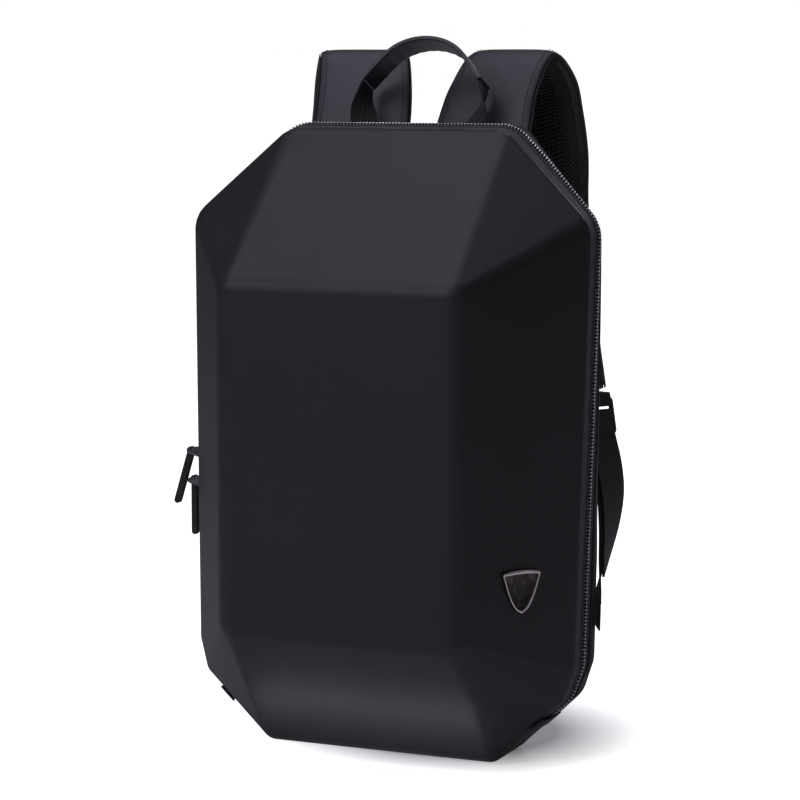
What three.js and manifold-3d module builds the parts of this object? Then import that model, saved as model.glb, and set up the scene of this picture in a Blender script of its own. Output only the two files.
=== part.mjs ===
// Hard shell backpack, standing on its base. Millimetres, +Z up.
// X runs to the right as seen from the front, Y from the front panel towards the back panel.
// The model is built with Y = 0 at the front panel and moved at the end, so that the origin
// lies on the floor under the middle of the flat base.

import * as THREE from 'three';
import { ConvexGeometry } from 'three/addons/geometries/ConvexGeometry.js';
import * as BufferGeometryUtils from 'three/addons/utils/BufferGeometryUtils.js';
import Module from 'manifold-3d';

const wasm = await Module();
wasm.setup();

// Front shell
const SHELL_HEIGHT = 450;
const SHELL_WIDTH = 310;
const SHELL_WALL = 3;
const TOP_RIM_DEPTH = 102;
const SIDE_RIM_DEPTH = 87;
const BOTTOM_RIM_DEPTH = 65;
const TOP_EDGE_WIDTH = 170;
const BOTTOM_EDGE_WIDTH = 178;
const UPPER_CORNER_Z = 385;
const LOWER_CORNER_Z = 71;
const LOWER_CORNER_INSET = 6.7;
const CHAMFER_CORNER_Z = 47.6;
const CHAMFER_CORNER_INSET = 14.5;
const CHAMFER_CORNER_DEPTH = 74;
const RIM_LIFT = 6;
const RIM_RADIUS = 12;
const RIM_FLANGE = 0.5;
const UPPER_ROUNDING = 26;
const PANEL_WIDTH = 182;
const PANEL_TOP_Z = 344;
const PANEL_BOTTOM_Z = 95;
const PANEL_RADIUS = 18;

// Rear body, padded back and base
const BACK_WALL_Y = 142;
const BACK_RADIUS = 16;
const BACK_INSET = 14;
const SIDE_WALL_END_Y = 117;
const UPPER_WALL_END_Y = 105;
const SIDE_BACK_RADIUS = 22;
const TOP_WALL_END_Y = 128;
const TOP_WALL_LIFT = 3;
const BASE_FRONT_Y = 78;
const BODY_WALL = 3;
const PAD_THICKNESS = 8;
const PAD_BORDER = 5;
const PAD_TOP_DROP = 58;

// Zip round the shell
const FRONT_TAPE_WIDTH = 15;
const CHAIN_WIDTH = 4.5;
const REAR_TAPE_WIDTH = 8;
const TAPE_THICKNESS = 1.6;
const TAPE_RECESS = 1;
const CHAIN_THICKNESS = 2.6;
const CHAIN_PROUD = 0.7;
const ZIP_END_Z = 31;
const END_TAB_HEIGHT = 9;
const END_TAB_THICKNESS = 1.2;
const END_TAB_LAP = 5;

// Zip sliders and pulls on the left side
const UPPER_PULL_Z = 208;
const LOWER_PULL_Z = 186;
const PULL_STANDOFF = 13.5;
const PULL_LENGTH = 42;
const PULL_WIDTH = 4.8;
const PULL_THICKNESS = 4.2;
const PULL_EYE_RADIUS = 3.2;
const PULL_LEAN_DEG = 17;
const PULL_PIN_RADIUS = 1;
const PULL_EYE_CLEARANCE = 0.4;
const PULL_SIDE_GAP = 0.8;
const SLIDER_LENGTH = 15;
const SLIDER_PLATE = 2.6;
const EAR_THICKNESS = 1.2;
const EAR_RADIUS = 2;

// Badge on the right facet
const BADGE_WIDTH = 33;
const BADGE_HEIGHT = 30;
const BADGE_THICKNESS = 2.4;
const BADGE_RIM = 2;
const BADGE_RECESS = 0.9;
const BADGE_CORNER = 4;
const BADGE_Z = 132;
const BADGE_FROM_PANEL = 51;

// Carrying handle
const HANDLE_FOOT_DROP = 5;
const HANDLE_FOOT_X = 43;
const HANDLE_RISE = 69;
const HANDLE_LEAN_DEG = 20;
const HANDLE_HALF_SPAN = 46;
const GRIP_END_RISE = 38;
const GRIP_WIDTH = 22;
const GRIP_TILT_DEG = 24;
const GRIP_THICKNESS = 3.2;
const HANDLE_WEBBING_WIDTH = 20;
const WEBBING_WIDTH = 25;
const WEBBING_THICKNESS = 1.6;

// Shoulder straps
const STRAP_WIDTH = 76;
const STRAP_PAD_THICKNESS = 6.2;
const STRAP_MESH_THICKNESS = 2.6;
const STRAP_ROOT_X = 48;
const STRAP_ROOT_DROP = 48;
const STRAP_CREST_RISE = 51;
const STRAP_REACH = 66;
const STRAP_END_INSET = 30;
const STRAP_SWAY = 6.5;
const STRAP_DROP = 239.5;

// Ladder locks and lower webbing
const LOCK_WIDTH = 32;
const LOCK_HEIGHT = 27;
const LOCK_THICKNESS = 3.2;
const LOCK_BAR = 3.2;
const LOCK_RAIL = 2.9;
const LOCK_OUTWARD = 15;
const LOCK_FORWARD = 5;
const LOCK_BELOW_STRAP = 20;
const LOCK_TURN_DEG = 60;
const LOCK_TILT_DEG = 12;
const LOOP_SPREAD = 1.6;
const WEBBING_BULGE = 8;
const WEBBING_END = 4;
const LOOP_END = 2;
const LOOP_STRAIGHT = 2.5;
const TAIL_LIFT = 2.3;
const TAIL_ROWS = 13;
const SEWN_GAP = 0.5;
const ANCHOR_Z = 112;
const ANCHOR_HEIGHT = 18;
const ANCHOR_WIDTH = 28;
const ANCHOR_THICKNESS = 1.2;
const ANCHOR_LIFT = 0.5;
const ANCHOR_TURN_DEG = 27;

// Clearance between neighbouring pieces
const GAP = 0.3;

const SPHERE_DETAIL = 3;
const ARC_CORNERS = 2;
const PLATE_SEGMENTS = 4;
const PIN_SIDES = 12;
const PULL_SEGMENTS = 10;
const BADGE_SEGMENTS = 6;
const LOCK_SEGMENTS = 4;
const EAR_SEGMENTS = 8;
const SMALL_SPHERE_DETAIL = 1;
const OVERSHOOT = 40;
const HALF_WIDTH = SHELL_WIDTH / 2;
const LOWER_CORNER_HALF_WIDTH = HALF_WIDTH - LOWER_CORNER_INSET;
const PANEL_HALF = PANEL_WIDTH / 2;
const BAND_END = RIM_FLANGE + FRONT_TAPE_WIDTH + CHAIN_WIDTH + REAR_TAPE_WIDTH + 3 * GAP;
const STRAP_THICKNESS = STRAP_PAD_THICKNESS + GAP + STRAP_MESH_THICKNESS;
const STRAP_ROOT_Z = SHELL_HEIGHT - STRAP_ROOT_DROP;
const STRAP_CREST_Z = SHELL_HEIGHT + STRAP_CREST_RISE;
const STRAP_SPLAY = HALF_WIDTH - STRAP_ROOT_X - STRAP_END_INSET;
const FOOT_CENTRE_Y = (BASE_FRONT_Y + SIDE_WALL_END_Y) / 2;
const HANDLE_FOOT_Y = BACK_WALL_Y + GAP;
const HANDLE_FOOT_Z = SHELL_HEIGHT - HANDLE_FOOT_DROP;
const UP = new THREE.Vector3(0, 0, 1);

const MATERIALS = {
  shell: { color: 0x1b1a1d, roughness: 0.55, metalness: 0 },
  fabric: { color: 0x141416, roughness: 0.85, metalness: 0 },
  tape: { color: 0x19191b, roughness: 0.9, metalness: 0 },
  chain: { color: 0x3c3c40, roughness: 0.35, metalness: 0.6 },
  metal: { color: 0x55555a, roughness: 0.3, metalness: 0.9 },
  rubber: { color: 0x0c0c0d, roughness: 0.6, metalness: 0 },
  webbing: { color: 0x18181a, roughness: 0.95, metalness: 0 },
  mesh: { color: 0x101012, roughness: 1, metalness: 0 },
  plastic: { color: 0x111113, roughness: 0.4, metalness: 0 },
};

const pack = new THREE.Group();

// Joining and cutting

function merged(geometry) {
  const bare = geometry.clone();
  for (const name of Object.keys(bare.attributes)) {
    if (name !== 'position') bare.deleteAttribute(name);
  }
  return BufferGeometryUtils.mergeVertices(bare);
}

function toSolid(geometry) {
  const shared = merged(geometry);
  return new wasm.Manifold(new wasm.Mesh({
    numProp: 3,
    vertProperties: new Float32Array(shared.attributes.position.array),
    triVerts: new Uint32Array(shared.index.array),
  }));
}

function toGeometry(solid) {
  const mesh = solid.getMesh();
  const geometry = new THREE.BufferGeometry();
  geometry.setAttribute('position', new THREE.BufferAttribute(new Float32Array(mesh.vertProperties), 3));
  geometry.setIndex(new THREE.BufferAttribute(new Uint32Array(mesh.triVerts), 1));
  const flat = geometry.toNonIndexed();
  flat.computeVertexNormals();
  return flat;
}

function addPiece(name, geometry, finish, parent = pack) {
  const piece = new THREE.Mesh(geometry, new THREE.MeshStandardMaterial(MATERIALS[finish]));
  piece.name = name;
  parent.add(piece);
  return piece;
}

// Rounded convex bodies, wrapped round balls placed at the corners

function ballDirections(detail) {
  const ball = merged(new THREE.IcosahedronGeometry(1, detail)).attributes.position;
  return Array.from({ length: ball.count }, (_, i) => new THREE.Vector3().fromBufferAttribute(ball, i));
}

const DIRECTIONS = ballDirections(SPHERE_DETAIL);
const FEW_DIRECTIONS = ballDirections(SMALL_SPHERE_DETAIL);

function wrapBalls(balls, grow, directions) {
  const points = [];
  for (const { centre, radius } of balls) {
    for (const direction of directions) {
      points.push(centre.clone().addScaledVector(direction, radius + grow));
    }
  }
  return new ConvexGeometry(points);
}

// Outline of the rim, right half from the bottom edge to the top edge

function halfAngleSeat(run, depth, radius) {
  return radius * Math.tan(Math.atan2(run, depth) / 2);
}

const SIDE_SLOPE = SIDE_RIM_DEPTH / (HALF_WIDTH - PANEL_HALF);
const SIDE_SEAT = halfAngleSeat(HALF_WIDTH - PANEL_HALF, SIDE_RIM_DEPTH, RIM_RADIUS);
const TOP_SEAT = halfAngleSeat(SHELL_HEIGHT - PANEL_TOP_Z, TOP_RIM_DEPTH, RIM_RADIUS);
const BOTTOM_SEAT = halfAngleSeat(PANEL_BOTTOM_Z - RIM_LIFT, BOTTOM_RIM_DEPTH, RIM_RADIUS);

const RIM_CORNERS = [
  { x: BOTTOM_EDGE_WIDTH / 2, z: RIM_LIFT, depth: BOTTOM_RIM_DEPTH, seat: BOTTOM_SEAT },
  {
    x: HALF_WIDTH - CHAMFER_CORNER_INSET,
    z: CHAMFER_CORNER_Z,
    depth: CHAMFER_CORNER_DEPTH,
    seat: (BOTTOM_SEAT + SIDE_SEAT) / 2,
  },
  {
    x: LOWER_CORNER_HALF_WIDTH,
    z: LOWER_CORNER_Z,
    depth: SIDE_SLOPE * (LOWER_CORNER_HALF_WIDTH - PANEL_HALF),
    seat: SIDE_SEAT,
  },
  { x: HALF_WIDTH, z: UPPER_CORNER_Z, depth: SIDE_RIM_DEPTH, seat: SIDE_SEAT, rounding: UPPER_ROUNDING },
  {
    x: TOP_EDGE_WIDTH / 2,
    z: SHELL_HEIGHT,
    depth: TOP_RIM_DEPTH,
    seat: TOP_SEAT,
    rounding: UPPER_ROUNDING,
    onTop: true,
  },
];

function between(value, low, high, atLow, atHigh) {
  const share = THREE.MathUtils.clamp((value - low) / (high - low), 0, 1);
  return THREE.MathUtils.lerp(atLow, atHigh, share);
}

function rimDepthAt(z) {
  const above = Math.max(1, RIM_CORNERS.findIndex((corner) => corner.z >= z));
  const top = z >= SHELL_HEIGHT ? RIM_CORNERS.length - 1 : above;
  const low = RIM_CORNERS[top - 1];
  const high = RIM_CORNERS[top];
  return between(z, low.z, high.z, low.depth, high.depth);
}

function halfWidthAt(z) {
  return between(z, LOWER_CORNER_Z, UPPER_CORNER_Z, LOWER_CORNER_HALF_WIDTH, HALF_WIDTH);
}

// A corner cut back to corners round an arc that both of its edges touch
function cutBack(corner, before, after) {
  if (!corner.rounding) return [corner];
  const come = new THREE.Vector2(corner.x - before.x, corner.z - before.z).angle();
  const turn = new THREE.Vector2(after.x - corner.x, after.z - corner.z).angle() - come;
  const toCentre = come + (turn + Math.PI) / 2;
  const centreAway = corner.rounding / Math.cos(turn / 2);
  const cornerAway = corner.rounding / Math.cos(turn / (2 * ARC_CORNERS));
  return Array.from({ length: ARC_CORNERS }, (_, i) => {
    const outward = come - Math.PI / 2 + ((i + 0.5) / ARC_CORNERS) * turn;
    const z = Math.min(SHELL_HEIGHT,
      corner.z + Math.sin(toCentre) * centreAway + Math.sin(outward) * cornerAway);
    const x = corner.x + Math.cos(toCentre) * centreAway + Math.cos(outward) * cornerAway;
    return { ...corner, x, z, depth: rimDepthAt(z) };
  });
}

const OUTLINE = RIM_CORNERS.flatMap((corner, i) => {
  const after = RIM_CORNERS[i + 1] ?? { x: -corner.x, z: corner.z };
  return cutBack(corner, RIM_CORNERS[i - 1], after);
});

// Corners moved inwards by a distance from each of the outline's edges
function insetCorners(distance, baseDrop = 0) {
  const corners = OUTLINE.map(({ x, z }, i) => new THREE.Vector2(x, i === 0 ? z - baseDrop : z));
  const mirrorX = (corner) => new THREE.Vector2(-corner.x, corner.y);
  const loop = [mirrorX(corners[0]), ...corners, mirrorX(corners[corners.length - 1])];
  return corners.map((corner, i) => {
    const before = corner.clone().sub(loop[i]).normalize();
    const after = loop[i + 2].clone().sub(corner).normalize();
    const inward = new THREE.Vector2(-before.y - after.y, before.x + after.x).normalize();
    const stretch = distance / inward.dot(new THREE.Vector2(-before.y, before.x));
    return corner.clone().addScaledVector(inward, stretch);
  });
}

function bothSides(balls) {
  return balls.flatMap(({ centre, radius }) => [
    { centre, radius },
    { centre: new THREE.Vector3(-centre.x, centre.y, centre.z), radius },
  ]);
}

function ring(corners, radius, depthOf) {
  return corners.map((corner, i) => ({
    centre: new THREE.Vector3(corner.x, depthOf(i, corner), corner.y),
    radius,
  }));
}

const panelTopRun = halfAngleSeat(TOP_RIM_DEPTH, SHELL_HEIGHT - PANEL_TOP_Z, PANEL_RADIUS);
const panelBottomRun = halfAngleSeat(BOTTOM_RIM_DEPTH, PANEL_BOTTOM_Z - RIM_LIFT, PANEL_RADIUS);
const panelSideRun = halfAngleSeat(SIDE_RIM_DEPTH, HALF_WIDTH - PANEL_HALF, PANEL_RADIUS);
const PANEL_BALLS = [PANEL_BOTTOM_Z + panelBottomRun, PANEL_TOP_Z - panelTopRun].map((z) => ({
  centre: new THREE.Vector3(PANEL_HALF - panelSideRun, PANEL_RADIUS, z),
  radius: PANEL_RADIUS,
}));

const RIM_BALLS = ring(insetCorners(RIM_RADIUS), RIM_RADIUS,
  (i) => OUTLINE[i].depth + OUTLINE[i].seat);
const WALL_END_BALLS = [
  ...ring(insetCorners(SIDE_BACK_RADIUS, RIM_LIFT), SIDE_BACK_RADIUS,
    (i) => (OUTLINE[i].rounding ? UPPER_WALL_END_Y : SIDE_WALL_END_Y)).filter((_, i) => !OUTLINE[i].onTop),
  ...ring(insetCorners(RIM_RADIUS - TOP_WALL_LIFT), RIM_RADIUS, () => TOP_WALL_END_Y)
    .filter((_, i) => OUTLINE[i].onTop),
];
const BASE_FRONT_BALLS = [{
  centre: new THREE.Vector3(insetCorners(RIM_RADIUS, RIM_LIFT)[0].x, BASE_FRONT_Y, RIM_RADIUS),
  radius: RIM_RADIUS,
}];
const BACK_BALLS = ring(insetCorners(BACK_INSET + BACK_RADIUS), BACK_RADIUS,
  () => BACK_WALL_Y - BACK_RADIUS);
const BODY_BALLS = bothSides([
  ...PANEL_BALLS, ...RIM_BALLS, ...WALL_END_BALLS, ...BASE_FRONT_BALLS, ...BACK_BALLS,
]);

function bodySkin(outer, inner) {
  return toSolid(wrapBalls(BODY_BALLS, outer, DIRECTIONS))
    .subtract(toSolid(wrapBalls(BODY_BALLS, inner, DIRECTIONS)));
}

// Slabs that follow the rim's depth, to part the body into shell, zip and rear
function rimSlab(from, to, lowZ = -OVERSHOOT, highZ = SHELL_HEIGHT + OVERSHOOT) {
  const heights = [lowZ, ...RIM_CORNERS.map(({ z }) => z).filter((z) => z > lowZ && z < highZ), highZ];
  const frontAt = (z) => (from === null ? -OVERSHOOT : rimDepthAt(z) + from);
  const rearAt = (z) => (to === null ? BACK_WALL_Y + OVERSHOOT : rimDepthAt(z) + to);
  const front = heights.map((z) => new THREE.Vector2(frontAt(z), z));
  const rear = heights.map((z) => new THREE.Vector2(rearAt(z), z));
  const width = SHELL_WIDTH + 2 * OVERSHOOT;
  const slab = new THREE.ExtrudeGeometry(new THREE.Shape([...rear, ...front.reverse()]), {
    depth: width,
    bevelEnabled: false,
  });
  slab.translate(0, 0, -width / 2);
  slab.applyMatrix4(new THREE.Matrix4().makeBasis(
    new THREE.Vector3(0, 1, 0), new THREE.Vector3(0, 0, 1), new THREE.Vector3(1, 0, 0)));
  return toSolid(slab);
}

function makeBody() {
  const wall = bodySkin(0, -SHELL_WALL);
  const rearWall = bodySkin(0, -BODY_WALL);
  addPiece('front_shell', toGeometry(wall.intersect(rimSlab(null, RIM_FLANGE))), 'shell');
  addPiece('rear_body', toGeometry(rearWall.intersect(rimSlab(BAND_END, null))), 'fabric');
  const gusset = rimSlab(RIM_FLANGE + GAP, BAND_END - GAP, -OVERSHOOT, ZIP_END_Z - GAP);
  addPiece('base_gusset', toGeometry(rearWall.intersect(gusset)), 'fabric');
}

function makeZip() {
  const tape = bodySkin(-TAPE_RECESS, -TAPE_RECESS - TAPE_THICKNESS);
  const chain = bodySkin(CHAIN_PROUD, CHAIN_PROUD - CHAIN_THICKNESS);
  const chainStart = RIM_FLANGE + FRONT_TAPE_WIDTH + GAP;
  const chainEnd = chainStart + CHAIN_WIDTH;
  const frontTape = rimSlab(RIM_FLANGE + GAP, chainStart - GAP, ZIP_END_Z);
  const rearTape = rimSlab(chainEnd + GAP, BAND_END - GAP, ZIP_END_Z);
  addPiece('zip_tape_front', toGeometry(tape.intersect(frontTape)), 'tape');
  addPiece('zip_chain', toGeometry(chain.intersect(rimSlab(chainStart, chainEnd, ZIP_END_Z))), 'chain');
  addPiece('zip_tape_rear', toGeometry(tape.intersect(rearTape)), 'tape');

  const tabSkin = bodySkin(CHAIN_PROUD + GAP + END_TAB_THICKNESS, CHAIN_PROUD + GAP);
  const tabLow = ZIP_END_Z + END_TAB_LAP - END_TAB_HEIGHT;
  const tabSlab = rimSlab(RIM_FLANGE + GAP, BAND_END - GAP, tabLow, tabLow + END_TAB_HEIGHT);
  const tabs = tabSkin.intersect(tabSlab);
  for (const [side, sign] of [['right', 1], ['left', -1]]) {
    const half = new THREE.BoxGeometry(SHELL_WIDTH, 2 * BACK_WALL_Y, SHELL_HEIGHT);
    half.translate(sign * HALF_WIDTH, BACK_WALL_Y, SHELL_HEIGHT / 2);
    addPiece(`zip_end_tab_${side}`, toGeometry(tabs.intersect(toSolid(half))), 'fabric');
  }
}

function makeBackPad() {
  const radius = PAD_THICKNESS / 2;
  const corners = insetCorners(BACK_INSET + BACK_RADIUS + PAD_BORDER + radius);
  const centreY = BACK_WALL_Y + GAP + radius;
  const top = SHELL_HEIGHT - PAD_TOP_DROP - radius;
  const balls = ring(corners, radius, () => centreY).map(({ centre }) => ({
    centre: new THREE.Vector3(centre.x, centre.y, Math.min(centre.z, top)),
    radius,
  }));
  addPiece('back_pad', wrapBalls(bothSides(balls), 0, FEW_DIRECTIONS), 'mesh');
}

// Zip sliders, with a pin along Y that the pull's eye hangs on

const CHAIN_MIDDLE = RIM_FLANGE + FRONT_TAPE_WIDTH + GAP + CHAIN_WIDTH / 2;
const EAR_GAP = 2 * PULL_THICKNESS + 2 * PULL_SIDE_GAP;
const SLIDER_WIDTH = EAR_GAP + 2 * EAR_THICKNESS;

function roundedOutline(width, height, radius) {
  const outline = new THREE.Shape();
  const right = width / 2 - radius;
  const top = height / 2 - radius;
  outline.absarc(right, top, radius, 0, Math.PI / 2);
  outline.absarc(-right, top, radius, Math.PI / 2, Math.PI);
  outline.absarc(-right, -top, radius, Math.PI, 1.5 * Math.PI);
  outline.absarc(right, -top, radius, 1.5 * Math.PI, 2 * Math.PI);
  return outline;
}

function makeSlider(name, pinZ) {
  const slider = new THREE.Group();
  slider.position.set(-halfWidthAt(pinZ) - PULL_STANDOFF, rimDepthAt(pinZ) + CHAIN_MIDDLE, pinZ);
  const plateFloor = PULL_STANDOFF - (CHAIN_PROUD + 2 * GAP);
  const outline = roundedOutline(SLIDER_WIDTH, SLIDER_LENGTH, SLIDER_WIDTH / 3);
  const plate = new THREE.ExtrudeGeometry(outline, {
    depth: SLIDER_PLATE,
    bevelEnabled: false,
    curveSegments: PLATE_SEGMENTS,
  });
  plate.applyMatrix4(new THREE.Matrix4().makeBasis(
    new THREE.Vector3(0, 1, 0), new THREE.Vector3(0, 0, 1), new THREE.Vector3(1, 0, 0)));
  plate.translate(plateFloor - SLIDER_PLATE, 0, 0);
  let solid = toSolid(plate);
  for (const sign of [1, -1]) {
    const earShape = new THREE.Shape();
    earShape.moveTo(plateFloor - SLIDER_PLATE / 2, -SLIDER_LENGTH / 3);
    earShape.lineTo(plateFloor - SLIDER_PLATE / 2, SLIDER_LENGTH / 3);
    earShape.absarc(0, 0, EAR_RADIUS, Math.PI / 3, 1.5 * Math.PI);
    const ear = new THREE.ExtrudeGeometry(earShape, {
      depth: EAR_THICKNESS,
      bevelEnabled: false,
      curveSegments: EAR_SEGMENTS,
    });
    ear.rotateX(Math.PI / 2);
    ear.translate(0, (sign * (EAR_GAP + EAR_THICKNESS) + EAR_THICKNESS) / 2, 0);
    solid = solid.add(toSolid(ear));
  }
  const pinLength = EAR_GAP + EAR_THICKNESS;
  const pin = new THREE.CylinderGeometry(PULL_PIN_RADIUS, PULL_PIN_RADIUS, pinLength, PIN_SIDES);
  solid = solid.add(toSolid(pin));
  addPiece(`zip_slider_${name}`, toGeometry(solid), 'metal', slider);
  pack.add(slider);
  return slider;
}

function makePull(name, slider, side, leanDeg) {
  const half = PULL_WIDTH / 2;
  const tip = -PULL_LENGTH + half;
  const outline = new THREE.Shape();
  const shoulder = -Math.sqrt(PULL_EYE_RADIUS ** 2 - half ** 2) - PULL_EYE_RADIUS / 2;
  outline.absarc(0, 0, PULL_EYE_RADIUS, -Math.PI / 4, 1.25 * Math.PI);
  outline.lineTo(-half, shoulder);
  outline.absarc(0, tip, half, Math.PI, 2 * Math.PI);
  outline.lineTo(half, shoulder);
  outline.closePath();
  const eye = new THREE.Path();
  eye.absarc(0, 0, PULL_PIN_RADIUS + PULL_EYE_CLEARANCE, 0, 2 * Math.PI, true);
  outline.holes.push(eye);
  const bar = new THREE.ExtrudeGeometry(outline, {
    depth: PULL_THICKNESS,
    bevelEnabled: false,
    curveSegments: PULL_SEGMENTS,
  });
  bar.rotateX(Math.PI / 2);
  bar.translate(0, PULL_THICKNESS / 2, 0);
  const pull = addPiece(`zip_pull_${name}`, bar, 'rubber', slider);
  pull.position.y = side * (PULL_THICKNESS + PULL_SIDE_GAP) / 2;
  pull.rotation.y = THREE.MathUtils.degToRad(leanDeg);
}

// Badge: a shield with a raised border, bare inside

function badgeOutline(inset) {
  const half = BADGE_WIDTH / 2 - inset;
  const top = BADGE_HEIGHT / 2 - inset;
  const bottom = -BADGE_HEIGHT / 2 + inset;
  const corner = Math.max(BADGE_CORNER - inset, GAP);
  const crown = corner / 3;
  const outline = new THREE.Shape();
  outline.moveTo(0, top + crown);
  outline.quadraticCurveTo(half / 2, top + crown, half - corner, top);
  outline.quadraticCurveTo(half, top, half - corner / 2, top - corner);
  outline.quadraticCurveTo(half / 2, bottom + corner, corner / 2, bottom + corner / 2);
  outline.quadraticCurveTo(0, bottom, -corner / 2, bottom + corner / 2);
  outline.quadraticCurveTo(-half / 2, bottom + corner, -half + corner / 2, top - corner);
  outline.quadraticCurveTo(-half, top, -half + corner, top);
  outline.quadraticCurveTo(-half / 2, top + crown, 0, top + crown);
  return outline;
}

function makeBadge() {
  const options = (depth) => ({ depth, bevelEnabled: false, curveSegments: BADGE_SEGMENTS });
  const plate = toSolid(new THREE.ExtrudeGeometry(badgeOutline(0), options(BADGE_THICKNESS)));
  const pocketShape = new THREE.ExtrudeGeometry(badgeOutline(BADGE_RIM), options(BADGE_THICKNESS));
  pocketShape.translate(0, 0, BADGE_THICKNESS - BADGE_RECESS);
  const badge = toGeometry(plate.subtract(toSolid(pocketShape)));
  const along = new THREE.Vector3(1, SIDE_SLOPE, 0).normalize();
  const outward = along.clone().cross(UP);
  badge.applyMatrix4(new THREE.Matrix4().makeBasis(along, UP, outward));
  const piece = addPiece('badge', badge, 'metal');
  piece.position.set(PANEL_HALF, 0, BADGE_Z);
  piece.position.addScaledVector(along, BADGE_FROM_PANEL).addScaledVector(outward, GAP);
}

// Strips and pads, lofted through sections along a route

function bandSection(sides) {
  if (sides === 4) return [[1, 1], [-1, 1], [-1, -1], [1, -1]];
  return Array.from({ length: sides }, (_, i) => {
    const angle = ((i + 0.5) / sides) * 2 * Math.PI;
    const pull = (value) => Math.sign(value) * Math.abs(value) ** BAND_BLUNTNESS;
    return [pull(Math.cos(angle)), pull(Math.sin(angle))];
  });
}

function signedVolume(positions, index) {
  const corner = (i) => new THREE.Vector3().fromArray(positions, 3 * index[i]);
  let volume = 0;
  for (let i = 0; i < index.length; i += 3) {
    volume += corner(i).dot(corner(i + 1).cross(corner(i + 2))) / 6;
  }
  return volume;
}

// Each row has its centre, the direction across the band, its width, thickness and lift.
// A section keeps its own direction across, so both edges of a band stay level.
function loft(rows, sides) {
  const section = bandSection(sides);
  const positions = [];
  rows.forEach((row, i) => {
    const before = rows[Math.max(i - 1, 0)].centre;
    const after = rows[Math.min(i + 1, rows.length - 1)].centre;
    const along = after.clone().sub(before).normalize();
    const outward = row.across.clone().cross(along).normalize();
    for (const [u, v] of section) {
      const point = row.centre.clone()
        .addScaledVector(row.across, (u * row.width) / 2)
        .addScaledVector(outward, (v * row.thickness) / 2 + (row.lift ?? 0));
      positions.push(point.x, point.y, point.z);
    }
  });
  const index = [];
  const count = section.length;
  for (let i = 0; i + 1 < rows.length; i += 1) {
    for (let j = 0; j < count; j += 1) {
      const a = i * count + j;
      const b = i * count + ((j + 1) % count);
      const onTop = j < count / 2;
      index.push(...(onTop ? [a, b, b + count, a, b + count, a + count]
        : [a, b, a + count, b, b + count, a + count]));
    }
  }
  const last = (rows.length - 1) * count;
  for (let j = 1; j + 1 < count; j += 1) {
    index.push(0, j + 1, j, last, last + j, last + j + 1);
  }
  const geometry = new THREE.BufferGeometry();
  geometry.setAttribute('position', new THREE.Float32BufferAttribute(positions, 3));
  geometry.setIndex(signedVolume(positions, index) < 0 ? index.reverse() : index);
  return geometry;
}

// A smooth route through hand-set rows, as evenly spaced rows
function smoothRows(rows, steps) {
  const route = new THREE.CatmullRomCurve3(rows.map(({ centre }) => centre));
  const sizes = new THREE.CatmullRomCurve3(
    rows.map(({ width, turn }) => new THREE.Vector3(width, turn, 0)), false, 'catmullrom');
  return Array.from({ length: steps + 1 }, (_, i) => {
    const place = i / steps;
    const size = sizes.getPoint(place);
    return { centre: route.getPoint(place), width: size.x, turn: size.y };
  });
}

// Shoulder straps: shares of the reach, splay, rise or drop, and width
const STRAP_FRONT_LEG = [
  { splay: 0, reach: 0.005, rise: 0, width: 1, turn: 0 },
  { splay: 0, reach: 0.03, rise: 0.23, width: 1, turn: 0 },
  { splay: 0.01, reach: 0.26, rise: 0.46, width: 0.99, turn: -3 },
  { splay: 0.05, reach: 0.47, rise: 0.76, width: 0.94, turn: -6 },
  { splay: 0.17, reach: 0.74, rise: 1, width: 0.9, turn: -8 },
];
const STRAP_REAR_LEG = [
  { splay: 0.31, reach: 0.94, drop: 0.07, width: 0.87, turn: -8 },
  { splay: 0.37, reach: 1, drop: 0.17, width: 0.86, turn: -7 },
  { splay: 0.42, reach: 1, drop: 0.3, width: 0.86, turn: -5 },
  { splay: 0.44, reach: 0.94, drop: 0.45, width: 0.85, turn: -2 },
  { splay: 0.55, reach: 0.78, drop: 0.65, width: 0.79, turn: 5 },
  { splay: 0.77, reach: 0.52, drop: 0.86, width: 0.65, turn: 20 },
  { splay: 1, reach: 0.28, drop: 1, width: 0.5, turn: 38 },
];
// The power that rounds a padded band's section: 1 would be an ellipse, 0 a box.
const BAND_BLUNTNESS = 0.45;
const STRAP_STEPS = 38;
const STRAP_SIDES = 12;
const STRAP_ROOT_Y = BACK_WALL_Y + GAP + STRAP_THICKNESS / 2;

function strapRows(sign) {
  const rise = (share) => THREE.MathUtils.lerp(STRAP_ROOT_Z, STRAP_CREST_Z, share);
  const drop = (share) => STRAP_CREST_Z - share * STRAP_DROP;
  const rows = [...STRAP_FRONT_LEG, ...STRAP_REAR_LEG].map((row) => ({
    centre: new THREE.Vector3(
      sign * (STRAP_ROOT_X + row.splay * STRAP_SPLAY) - STRAP_SWAY,
      STRAP_ROOT_Y + row.reach * STRAP_REACH,
      row.rise === undefined ? drop(row.drop) : rise(row.rise),
    ),
    width: row.width * STRAP_WIDTH,
    turn: sign * row.turn,
  }));
  return smoothRows(rows, STRAP_STEPS);
}

function acrossAt(turnDeg) {
  const turn = THREE.MathUtils.degToRad(turnDeg);
  return new THREE.Vector3(Math.cos(turn), Math.sin(turn), 0);
}

function makeStrap(side, sign) {
  const rows = strapRows(sign);
  const layer = (thickness, lift) => loft(rows.map((row) => ({
    ...row, across: acrossAt(row.turn), thickness, lift,
  })), STRAP_SIDES);
  const padLift = (STRAP_THICKNESS - STRAP_PAD_THICKNESS) / 2;
  const meshLift = -(STRAP_THICKNESS - STRAP_MESH_THICKNESS) / 2;
  addPiece(`shoulder_strap_${side}`, layer(STRAP_PAD_THICKNESS, padLift), 'shell');
  addPiece(`strap_mesh_${side}`, layer(STRAP_MESH_THICKNESS, meshLift), 'mesh');
}

// Carrying handle, drawn in a plane that leans back from the top edge

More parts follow.
